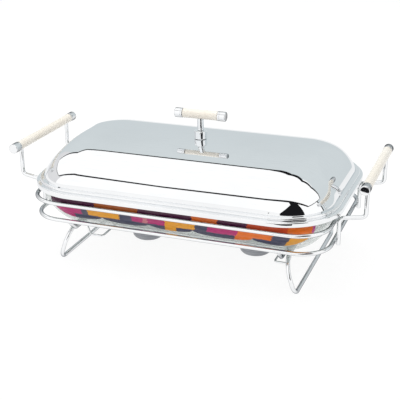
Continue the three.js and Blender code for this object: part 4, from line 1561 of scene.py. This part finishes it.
# Glass dish
@dataclass
class GlassDish:
    """A pressed glass dish that hangs in the top rail, with a printed border on both long sides."""

    floor_inset: float = 38 * MM
    foot_power: float = 0.5
    wall_power: float = 1.15
    corner: float = 56 * MM
    floor_corner: float = 36 * MM
    wall: float = 4 * MM
    rim_thickness: float = 4 * MM
    rim_fillet: float = 1.5 * MM
    mouth_round: float = 2 * MM
    rail_clearance: float = 0.5 * MM
    rim_corner: float = 73 * MM
    petal_ends_mm: tuple[float, ...] = (-160, -91, -27, 31, 107, 182)
    print_top: float = 96 * MM
    petal_top: float = 72 * MM
    petal_drop: float = 6.5 * MM
    end_top: float = 87 * MM
    print_lift: float = 0.12 * MM
    print_depth: float = 0.08 * MM

    def __post_init__(self) -> None:
        """Measures the dish and the rail that it hangs in."""
        dish, rail = Extent.of("glass_dish"), Extent.of("top_rail")
        girth = 2.5 * MM / math.cos(math.pi / 8)
        self.floor = dish.low.z
        self.rim = dish.high.z
        self.rail_height = rail.middle.z
        self.mouth = (rail.half.x - 2 * girth - self.rail_clearance,
                      rail.half.y - 2 * girth - self.rail_clearance)
        self.rim_half = (dish.half.x, dish.half.y)

    def inset(self, height: float) -> float:
        """How far the outer wall lies inside its outline at the rail."""
        share = min(max((height - self.floor) / (self.rail_height - self.floor), 0), 1)
        return self.floor_inset * (1 - share ** self.foot_power) ** self.wall_power

    def outline(self, inset: float, height: float) -> Outline:
        """The wall's outline at an inset."""
        corner = self.corner - (self.corner - self.floor_corner) * inset / self.floor_inset
        return Outline(self.mouth[0] - inset, self.mouth[1] - inset, corner, height)

    def rim_outline(self, inset: float, height: float) -> Outline:
        """The rim's outline at an inset."""
        return Outline(self.rim_half[0] - inset, self.rim_half[1] - inset, self.rim_corner, height)

    def build(self) -> None:
        """Makes the dish and its printed borders."""
        self.body()
        for depth, turned in ((Depth.FRONT, 0.0), (Depth.BACK, math.pi)):
            self.border(depth, turned)

    def body(self) -> None:
        """The glass itself."""
        steps = 36
        outer, inner = [], []
        rise = self.rail_height - self.floor
        for step in range(steps + 1):
            height = self.floor + rise * (step / steps) ** 2
            outer.append(self.outline(self.inset(height), height))
            inside = self.floor + self.wall + (rise - self.wall) * (step / steps) ** 2
            inner.append(self.outline(self.inset(height) + self.wall, inside))
        under = self.rim - self.rim_thickness
        fillet = self.rim_fillet
        neck = [self.outline(-fillet * (1 - math.cos(turn_share)),
                             under - fillet * (1 - math.sin(turn_share)))
                for turn_share in [math.radians(15 * step) for step in range(7)]]
        flat = neck[-1].between(self.rim_outline(0.8 * MM, under), 0.5)
        edge = []
        half = self.rim_thickness / 2
        for step in range(9):
            angle = math.radians(-90 + 22.5 * step)
            edge.append(self.rim_outline(half * 0.6 * (1 - math.cos(angle)),
                                         under + half + half * math.sin(angle)))
        over = []
        for step in range(7):
            angle = math.radians(15 * step)
            inset = self.wall - self.mouth_round * (1 - math.sin(angle))
            over.append(self.outline(inset, self.rim - self.mouth_round * (1 - math.cos(angle))))
        centre = [Outline(4 * MM, 2 * MM, 1 * MM, self.floor)]
        inner_centre = [Outline(4 * MM, 2 * MM, 1 * MM, self.floor + self.wall)]
        outlines = centre + outer + neck + [flat] + edge + over + inner[::-1] + inner_centre
        mesh = loft("glass_dish", outlines, close_along=False, corner_steps=24, side_steps=16)
        replace_node("glass_dish", "pressed", mesh, DISH_GLASS, "dish")

    def wall_point(self, along: float, height: float, lift: float) -> Vector:
        """A point on the front wall.

        Args:
            along: distance from the middle of the front, measured round the outline at the rail.
            height: the point's height.
            lift: how far it stands off the glass.

        Returns:
            The point.
        """
        widest = self.outline(0, height)
        here = self.outline(self.inset(height), height)
        straight = widest.half_length - widest.corner
        here_straight = here.half_length - here.corner
        if abs(along) <= straight:
            return Vector((along / straight * here_straight, -here.half_width - lift, height))
        sign = 1 if along > 0 else -1
        angle = (abs(along) - straight) / widest.corner
        reach = here.corner + lift
        x = here_straight + reach * math.sin(angle)
        y = -(here.half_width - here.corner) - reach * math.cos(angle)
        return Vector((sign * x, y, height))

    def print_bottom(self, along: float) -> float:
        """The height of the border's petalled lower edge.

        Args:
            along: distance from the middle of the front.

        Returns:
            The height.
        """
        ends = [end * MM for end in self.petal_ends_mm]
        last = len(ends) - 2
        for index, (start, end) in enumerate(zip(ends, ends[1:])):
            if along <= end or index == last:
                middle, half = (start + end) / 2, (end - start) / 2
                offset = max(-1.0, min(1.0, (along - middle) / half))
                bulge = math.sqrt(1 - offset * offset)
                outermost = (index == 0 and offset < 0) or (index == last and offset > 0)
                if outermost:
                    low = self.petal_top - self.petal_drop
                    return self.end_top - (self.end_top - low) * bulge
                return self.petal_top - self.petal_drop * bulge
        return self.petal_top

    def border(self, depth: Depth, turned: float) -> None:
        """One printed border: a thin fired layer, turned half round for the back.

        Args:
            depth: which long side.
            turned: the turn about Z.
        """
        start, end = self.petal_ends_mm[0] * MM, self.petal_ends_mm[-1] * MM
        columns, rows = 228, 14
        lowest = self.petal_top - self.petal_drop
        points, uvs, faces = [], [], []
        for lift in (self.print_lift, self.print_lift - self.print_depth):
            for column in range(columns + 1):
                along = start + (end - start) * column / columns
                low = self.print_bottom(along)
                for row in range(rows + 1):
                    height = low + (self.print_top - low) * row / rows
                    points.append(Matrix.Rotation(turned, 3, "Z") @ self.wall_point(along, height, lift))
                    uvs.append((column / columns, (height - lowest) / (self.print_top - lowest)))
        per_layer = (columns + 1) * (rows + 1)

        def at(layer: int, column: int, row: int) -> int:
            """A grid point's index."""
            return layer * per_layer + column * (rows + 1) + row

        for column in range(columns):
            for row in range(rows):
                corners = ((column, row), (column + 1, row), (column + 1, row + 1), (column, row + 1))
                faces.append(tuple(at(0, *corner) for corner in corners))
                faces.append(tuple(at(1, *corner) for corner in reversed(corners)))
            for row in (0, rows):
                faces.append((at(0, column, row), at(1, column, row), at(1, column + 1, row),
                              at(0, column + 1, row)))
        for row in range(rows):
            for column in (0, columns):
                faces.append((at(0, column, row), at(0, column, row + 1), at(1, column, row + 1),
                              at(1, column, row)))
        mesh = bpy.data.meshes.new(f"dish_border_{depth.word}")
        mesh.from_pydata([tuple(point) for point in points], [], faces)
        layer = mesh.uv_layers.new(name="border")
        for loop in mesh.loops:
            layer.data[loop.index].uv = uvs[loop.vertex_index]
        seal(mesh, doubles=0.0)
        smooth(mesh)
        new_piece(f"dish_border_{depth.word}", mesh, BORDER_ENAMEL, "dish")


# Lid
@dataclass
class LidShell:
    """The domed lid: skirt, ledge, bead and dome in one sheet."""

    sheet: float = 1 * MM
    corner_ease: float = 8.7 * MM
    dome_inset_x: float = 9.5 * MM
    dome_inset_y: float = 10 * MM
    ledge_round: float = 1.6 * MM
    skirt: float = 5.8 * MM
    bead_height: float = 4.2 * MM
    dome_rise: float = 43 * MM
    ridge_inset: float = 36.5 * MM
    end_power: float = 1.28
    side_power: float = 2.18
    corner_share: float = 0.545
    hole: float = 2.4 * MM
    dome_steps: int = 84

    def __post_init__(self) -> None:
        """Measures the lid."""
        box = Extent.of("lid_shell")
        self.half = (box.half.x, box.half.y)
        self.skirt_height = box.low.z
        self.top = box.high.z
        self.ledge = self.skirt_height + self.skirt
        self.dome_foot = self.top - self.dome_rise

    def edge(self, inset_mm: float, height: float, thin: float = 0.0) -> Outline:
        """An outline of the lid's edge; inset is measured on the long sides.

        Args:
            inset_mm: inset on the long sides, in millimetres.
            height: its height.
            thin: how far inside the outer face.

        Returns:
            The outline.
        """
        share = inset_mm * MM / self.dome_inset_y
        corner = (self.half[1] - self.dome_inset_y) * self.corner_share + self.corner_ease * (1 - share)
        return Outline(self.half[0] - share * self.dome_inset_x - thin,
                       self.half[1] - share * self.dome_inset_y - thin,
                       corner - thin, height)

    def dome(self, share: float, thin: float = 0.0) -> Outline:
        """An outline of the dome: share 0 is its foot and 1 its ridge.

        Args:
            share: 0 at the foot and 1 at the ridge.
            thin: how far inside the outer face.

        Returns:
            The outline.
        """
        angle = share * math.pi / 2
        height = math.sin(angle) ** (2 / self.side_power)
        narrowing = math.cos(angle) ** (2 / self.side_power)
        ridge = 1 - (1 - height ** self.end_power) ** (1 / self.end_power)
        half_width = (self.half[1] - self.dome_inset_y - thin) * narrowing
        half_length = self.half[0] - self.dome_inset_x - self.ridge_inset * ridge - thin
        return Outline(half_length, half_width, half_width * self.corner_share,
                       self.dome_foot - thin + self.dome_rise * height)

    def build(self) -> None:
        """Makes the lid's sheet."""
        ledge_mm = self.ledge / MM
        bead = arc((6.1, ledge_mm + 2.15), 1.95, 228, 84, 16)
        outside = rounded([
            (0, self.skirt_height / MM, 0), (0, ledge_mm, 1.9), (4.9, ledge_mm + 0.1, 0.3)], steps=8)[:-1]
        outside += bead
        outside += rounded([(bead[-1][0], bead[-1][1], 0), (9.9, ledge_mm + 4.05, 0.7),
                            (10, self.dome_foot / MM + 1.2, 0)])[1:-1]
        outer = [self.edge(inset, height * MM) for inset, height in outside]
        shares = [0.03 + 0.95 * step / self.dome_steps for step in range(self.dome_steps + 1)]
        outer += [self.dome(share) for share in shares]
        hole = Outline(self.hole, self.hole, self.hole, self.top)
        hole_under = Outline(self.hole, self.hole, self.hole, self.top - self.sheet)
        thin = self.sheet
        inner = [self.dome(share, thin) for share in shares[::2]][::-1]
        inside = rounded([
            (9.2, ledge_mm + 2.9, 0), (6, ledge_mm + 2.9, 1.0), (5.0, ledge_mm + 1.4, 1.0),
            (6.0, ledge_mm - 1, 0.8),
            (1.5, ledge_mm - 1, 1.0), (0, ledge_mm - 2.4, 0.8), (0, self.skirt_height / MM + 0.4, 0)])
        inner += [self.edge(inset, height * MM, thin) for inset, height in inside]
        lip = [self.edge(0.0, self.skirt_height, thin * share) for share in (0.8, 0.2)]
        outlines = outer + [hole, hole_under] + inner + lip
        mesh = loft("lid_shell", outlines, close_along=True, corner_steps=32, side_steps=26)
        replace_node("lid_shell", "pressed", mesh, LID_CHROME, "lid")


@dataclass
class LidHandle:
    """The handle's collar, stem, washer and screw."""

    bore: float = 2.4 * MM
    grip_radius: float = 5.9 * MM
    saddle_gap: float = 0.25 * MM
    spigot: float = 1.9 * MM
    bore_depth: float = 7.3 * MM

    def build(self) -> None:
        """Makes the turned pieces of the handle."""
        self.collar()
        self.stem()
        self.washer()
        self.screw()

    def collar(self) -> None:
        """The round collar on the dome, with a crowned shoulder."""
        box = Extent.of("lid_collar")
        low, high, radius = box.low.z, box.high.z, box.half.x
        profile = rounded([
            (self.bore, low, 0.2 * MM), (radius - 0.5 * MM, low, 0.3 * MM),
            (radius, low + 0.9 * MM, 0.6 * MM),
            (radius, high - 0.2 * MM, 2.2 * MM), (self.bore + 3.4 * MM, high, 0.8 * MM),
            (self.bore, high, 0.2 * MM)],
            closed=True, steps=8)
        replace_node("lid_collar", "turned", turn("lid_collar", profile, Matrix.Identity(4)), HANDLE_CHROME,
                     "lid")

    def stem(self) -> None:
        """The stem, coped to the underside of the grip, with a ring turned at its foot."""
        box = Extent.of("lid_stem")
        grip = Extent.of("lid_grip_sleeve").middle.z
        radius, low = box.half.x, box.low.z
        segments = 64
        foot = rounded([(self.bore, low, 0), (radius, low, 0.3 * MM), (radius, low + 2.0 * MM, 0.15 * MM),
                        (radius - 0.35 * MM, low + 2.3 * MM, 0.1 * MM),
                        (radius - 0.35 * MM, low + 2.8 * MM, 0.1 * MM),
                        (radius, low + 3.1 * MM, 0.15 * MM), (radius, low + 4 * MM, 0)], steps=4)
        rings = [circle(reach, height, segments) for reach, height in foot]
        saddle = self.grip_radius + self.saddle_gap
        for reach in (radius, radius * 0.8, radius * 0.5):
            rings.append([Vector((point.x, point.y, grip - math.sqrt(saddle ** 2 - point.y ** 2)))
                          for point in circle(reach, 0.0, segments)])
        bore_top = low + self.bore_depth
        rings += [circle(self.spigot, grip - saddle, segments), circle(self.spigot, box.high.z, segments)]
        rings += [[Vector((0, 0, height))] * segments for height in (box.high.z, bore_top)]
        rings.append(circle(self.bore, bore_top, segments))
        points, faces = skin(rings, close_along=True)
        replace_node("lid_stem", "turned", tidy_mesh("lid_stem", points, faces), HANDLE_CHROME, "lid")

    def washer(self) -> None:
        """The washer inside the dome."""
        box = Extent.of("lid_washer")
        profile = rounded([
            (self.bore, box.low.z, 0.1 * MM), (box.half.x, box.low.z, 0.25 * MM),
            (box.half.x, box.high.z, 0.15 * MM), (self.bore, box.high.z, 0.1 * MM)], closed=True)
        mesh = turn("lid_washer", profile, Matrix.Identity(4))
        replace_node("lid_washer", "pressed", mesh, FASTENER_ZINC, "lid")

    def screw(self) -> None:
        """The pan-head screw that holds the handle, its head inside the dome, with a cross recess."""
        box = Extent.of("lid_screw")
        low, high, head = box.low.z, box.high.z, box.half.x
        seat = low + 2.6 * MM
        shank = 1.9 * MM
        thread = []
        pitch, depth = 0.7 * MM, 0.3 * MM
        count = int((high - seat - 1.5 * MM) / pitch)
        for number in range(count):
            start = seat + 1.0 * MM + number * pitch
            thread += [(shank - depth, start), (shank, start + pitch * 0.4), (shank, start + pitch * 0.55)]
        dome = arc((0, low + head * 1.55), head * 1.55, -90, -90 + math.degrees(math.asin(1 / 1.55)) * 0.93,
                   8)
        profile = [(0.0, low)] + dome[1:] + rounded(
            [dome[-1] + (0,), (head, seat - 0.9 * MM, 0.3 * MM), (head, seat, 0.2 * MM),
             (shank, seat, 0)])[1:]
        profile += thread + [(shank - depth, high - 0.4 * MM), (0.0, high)]
        mesh = turn("lid_screw", profile, Matrix.Identity(4), 48)
        blade = bmesh.new()
        for angle in (0, math.pi / 2):
            place = Matrix.Translation((0, 0, low)) @ Matrix.Rotation(angle, 4, "Z") @ Matrix.Diagonal(
                (4.2 * MM, 0.9 * MM, 2.6 * MM, 1))
            bmesh.ops.create_cube(blade, size=1.0, matrix=place)
        replace_node("lid_screw", "cross_head", cut(mesh, blade), FASTENER_ZINC, "lid")


def cut(mesh: Mesh, tool: bmesh.types.BMesh) -> Mesh:
    """Cuts a tool's shape out of a mesh and gives the result as a plain mesh.

    Args:
        mesh: the mesh, which is cut.
        tool: the shape to take away.

    Returns:
        The result.
    """
    tool_mesh = bpy.data.meshes.new("cutter")
    tool.to_mesh(tool_mesh)
    tool.free()
    work, cutter = linked("work", mesh), linked("cutter", tool_mesh)
    modifier = work.modifiers.new("cut", "BOOLEAN")
    modifier.operation, modifier.object, modifier.solver = "DIFFERENCE", cutter, "EXACT"
    modifier.use_self = True
    bpy.context.view_layer.update()
    result = bpy.data.meshes.new_from_object(work.evaluated_get(bpy.context.evaluated_depsgraph_get()))
    work.modifiers.remove(modifier)
    for piece in (work, cutter):
        bpy.data.objects.remove(piece)
    result.set_sharp_from_angle(angle=SHARP_EDGE)
    return result


# Studio
@dataclass(frozen=True)
class Card:
    """A studio card that only reflections see."""

    name: str
    corners: tuple[tuple[float, float, float], ...]
    colour: Colour


@dataclass
class Studio:
    """The floor, the cards that the chrome mirrors, the lamps, the world and the camera."""

    camera_place: tuple[float, float, float] = (0.3881, -1.0519, 0.5045)
    camera_heading: float = 0.3546
    camera_tilt: float = 0.3733
    camera_roll: float = -0.0052
    lens: float = 82.79
    floor_reach: float = 6.0
    floor_glow: float = 0.86
    mirror_white: float = 1.12
    overhead: float = 1.5
    far_rim: float = 0.075
    near_rim: float = 0.2
    lamp_aim: tuple[float, float, float] = (0.0, 0.0, 0.08)
    lamp_plan: tuple[tuple[str, tuple[float, float, float], float, float], ...] = (
        ("overhead_lamp", (-0.5, 0.1, 1.9), 2.2, 24.0), ("front_lamp", (0.9, -1.9, 1.2), 1.4, 9.0))

    def build(self) -> None:
        """Sets up everything round the object."""
        self.camera()
        self.floor()
        self.cards()
        self.lamps()
        self.world()
        bpy.context.scene.view_settings.view_transform = "Standard"

    def camera(self) -> None:
        """The camera, by its place and its heading, tilt and roll."""
        data = bpy.data.cameras.new("camera")
        data.lens = self.lens
        data.sensor_width = 36.0
        data.clip_start, data.clip_end = 0.05, 50.0
        camera = linked("camera", data)
        turned = Euler((math.pi / 2 - self.camera_tilt, 0, self.camera_heading)).to_matrix().to_4x4()
        roll = Matrix.Rotation(self.camera_roll, 4, "Z")
        camera.matrix_world = Matrix.Translation(self.camera_place) @ turned @ roll
        bpy.context.scene.camera = camera

    def floor(self) -> None:
        """A plain white floor that keeps the object's shadow."""
        reach = self.floor_reach
        corners = [(-reach, -reach, 0), (reach, -reach, 0), (reach, reach, 0), (-reach, reach, 0)]
        floor = self.flat("studio_floor", corners)
        material = bpy.data.materials.new("studio_floor")
        material.use_nodes = True
        graph = Graph(material.node_tree)
        shader = material.node_tree.nodes["Principled BSDF"]
        output = material.node_tree.nodes["Material Output"]
        graph.fill(shader, {
            "Base Color": (0.9, 0.9, 0.9, 1),
            "Roughness": 0.9,
            "Specular IOR Level": 0.0})
        path = graph.add("ShaderNodeLightPath")
        seen = graph.math("MAXIMUM", path.outputs["Is Camera Ray"], path.outputs["Is Glossy Ray"])
        seen = graph.math("MAXIMUM", seen, path.outputs["Is Transmission Ray"])
        white = graph.add("ShaderNodeEmission", {"Color": (1, 1, 1, 1), "Strength": 1.06})
        share = graph.math("MULTIPLY", seen, self.floor_glow)
        mixed = graph.add("ShaderNodeMixShader", {0: share, 1: shader.outputs[0], 2: white.outputs[0]})
        graph.put(output, "Surface", mixed.outputs[0])
        floor.data.materials.append(material)

    def flat(self, name: str, corners: Sequence[Sequence[float]]) -> Object:
        """A flat stage piece.

        Args:
            name: the piece's name.
            corners: its corners.

        Returns:
            The piece.
        """
        mesh = bpy.data.meshes.new(name)
        mesh.from_pydata([tuple(corner) for corner in corners], [], [tuple(range(len(corners)))])
        piece = linked(name, mesh)
        return piece

    def widened(self, outline: Sequence[Point]) -> list[Point]:
        """The light's dark frame: each corner moved outwards, further at the near side.

        Args:
            outline: the light's outline.

        Returns:
            The frame's corners.
        """
        moved = []
        for before, here, after in zip(outline[-1:] + outline[:-1], outline, outline[1:] + outline[:1]):
            first = (Vector(here) - Vector(before)).normalized()
            second = (Vector(after) - Vector(here)).normalized()
            outward = Vector((first.y + second.y, -first.x - second.x)).normalized()
            rim = self.near_rim if here[1] < 0 else self.far_rim
            stretch = rim / max(outward.dot(Vector((first.y, -first.x))), 0.4)
            moved.append(tuple(Vector(here) + outward * stretch))
        return moved

    def cards(self) -> None:
        """The cards: walls, a framed light overhead, a dark strip in front and dark gaps at the right."""
        white = (self.mirror_white,) * 3 + (1.0,)
        sky = (0.7, 0.752, 0.767, 1.0)
        grey = (0.8, 0.8, 0.81, 1.0)
        black = (0.012, 0.012, 0.014, 1.0)
        high = self.overhead
        black_front = ((-0.02, -0.72, 0.01), (0.42, -0.56, 0.01), (0.28, -0.33, 0.01), (0.06, -0.41, 0.01))
        light = ((-3.0, -0.56), (-1.0, -0.56), (-0.62, -0.83), (-0.36, -0.76), (0.67, -0.59), (2.3, -0.5),
                 (2.3, 0.95),
                 (1.87, 0.89), (1.04, 0.59), (0.44, 0.58), (-0.1, 0.89), (-0.38, 1.19), (-0.98, 1.18),
                 (-1.26, 0.96),
                 (-3.0, 1.5))
        frame_outline = self.widened(light)
        cards = [
            Card("back_wall", ((-7, 3.2, 0.01), (7, 3.2, 0.01), (7, 3.2, 6), (-7, 3.2, 6)), sky),
            Card("left_wall", ((-4.2, -1.4, 0.01), (-4.2, 3.2, 0.01), (-4.2, 3.2, 4), (-4.2, -1.4, 4)), grey),
            Card("right_wall", ((4.2, 0.9, 0.01), (4.2, 3.2, 0.01), (4.2, 3.2, 4), (4.2, 0.9, 4)), sky),
            Card("overhead_light", tuple((x, y, high) for x, y in light), white),
            Card("overhead_frame", tuple((x, y, high + 0.01) for x, y in frame_outline), black),
            Card("right_gap", ((1.36, -0.8, 0.02), (1.07, -1.19, 0.02), (1.07, -1.19, 2.4),
                               (1.36, -0.8, 2.4)), black),
            Card("right_gap_wing", ((1.07, -1.19, 0.02), (0.36, -1.56, 0.02), (1.07, -1.19, 1.7)), black),
            Card("front_strip", black_front, black),
            Card("right_seam", ((4.1, 0.85, 0.01), (4.1, 1.05, 0.01), (4.1, 1.05, 3), (4.1, 0.85, 3)), black),
        ]
        for card in cards:
            piece = self.flat(card.name, card.corners)
            material = bpy.data.materials.new(card.name)
            material.use_nodes = True
            graph = Graph(material.node_tree)
            glow = graph.add("ShaderNodeEmission", {"Color": card.colour, "Strength": 1.0})
            graph.put(material.node_tree.nodes["Material Output"], "Surface", glow.outputs[0])
            piece.data.materials.append(material)
            piece.visible_camera = False
            piece.visible_diffuse = False
            piece.visible_shadow = False
            piece.visible_transmission = False

    def lamps(self) -> None:
        """Two soft lamps that reflections don't see."""
        for name, place, size, power in self.lamp_plan:
            data = bpy.data.lights.new(name, "AREA")
            data.shape, data.size, data.energy = "SQUARE", size, power
            lamp = linked(name, data)
            way = Vector(self.lamp_aim) - Vector(place)
            lamp.matrix_world = Matrix.Translation(place) @ way.to_track_quat("-Z", "Y").to_matrix().to_4x4()
            lamp.visible_glossy = False

    def world(self) -> None:
        """White to the camera and to reflections, and a plain soft level for everything else."""
        world = bpy.data.worlds.new("studio")
        bpy.context.scene.world = world
        world.use_nodes = True
        graph = Graph(world.node_tree)
        path = graph.add("ShaderNodeLightPath")
        fill = world.node_tree.nodes["Background"]
        graph.put(fill, "Color", (1, 1, 1, 1))
        graph.put(fill, "Strength", 0.55)
        seen = graph.add("ShaderNodeBackground", {"Color": (1, 1, 1, 1), "Strength": 1.0})
        mirrored = graph.add("ShaderNodeBackground", {"Color": (1, 1, 1, 1), "Strength": self.mirror_white})
        first = graph.add("ShaderNodeMixShader", {
            0: path.outputs["Is Glossy Ray"], 1: fill.outputs[0], 2: mirrored.outputs[0]})
        clear = graph.math("MAXIMUM", path.outputs["Is Camera Ray"], path.outputs["Is Transmission Ray"])
        second = graph.add("ShaderNodeMixShader", {0: clear, 1: first.outputs[0], 2: seen.outputs[0]})
        graph.put(world.node_tree.nodes["World Output"], "Surface", second.outputs[0])


# Assembly
def dress_rods() -> None:
    """Gives the steel rods inside the grips, which keep their CAD shape, a proper finish."""
    for node in ("grip_rod_left", "grip_rod_right", "lid_grip_rod"):
        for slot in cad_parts[node].material_slots:
            slot.material = HANDLE_CHROME.material()
        LOG.info("%s: dressed", node)


def main() -> None:
    """Builds the studio and every piece of the warmer, in order."""
    logging.basicConfig(level=logging.INFO, format="%(name)s %(message)s")
    Studio().build()
    stand = WireStand()
    stand.build()
    CandleRack().build(stand.tool)
    for side in Side:
        word = side.word
        GripBar(f"grip_sleeve_{word}", (f"grip_cap_{word}_front", f"grip_cap_{word}_back"), "stand",
                GRIP_IVORY, 1).build()
        CandlePlace(side).build()
    GlassDish().build()
    LidShell().build()
    LidHandle().build()
    GripBar("lid_grip_sleeve", ("lid_grip_cap_left", "lid_grip_cap_right"), "lid", LID_GRIP_IVORY, 0).build()
    dress_rods()


if __name__ == "__main__":
    main()
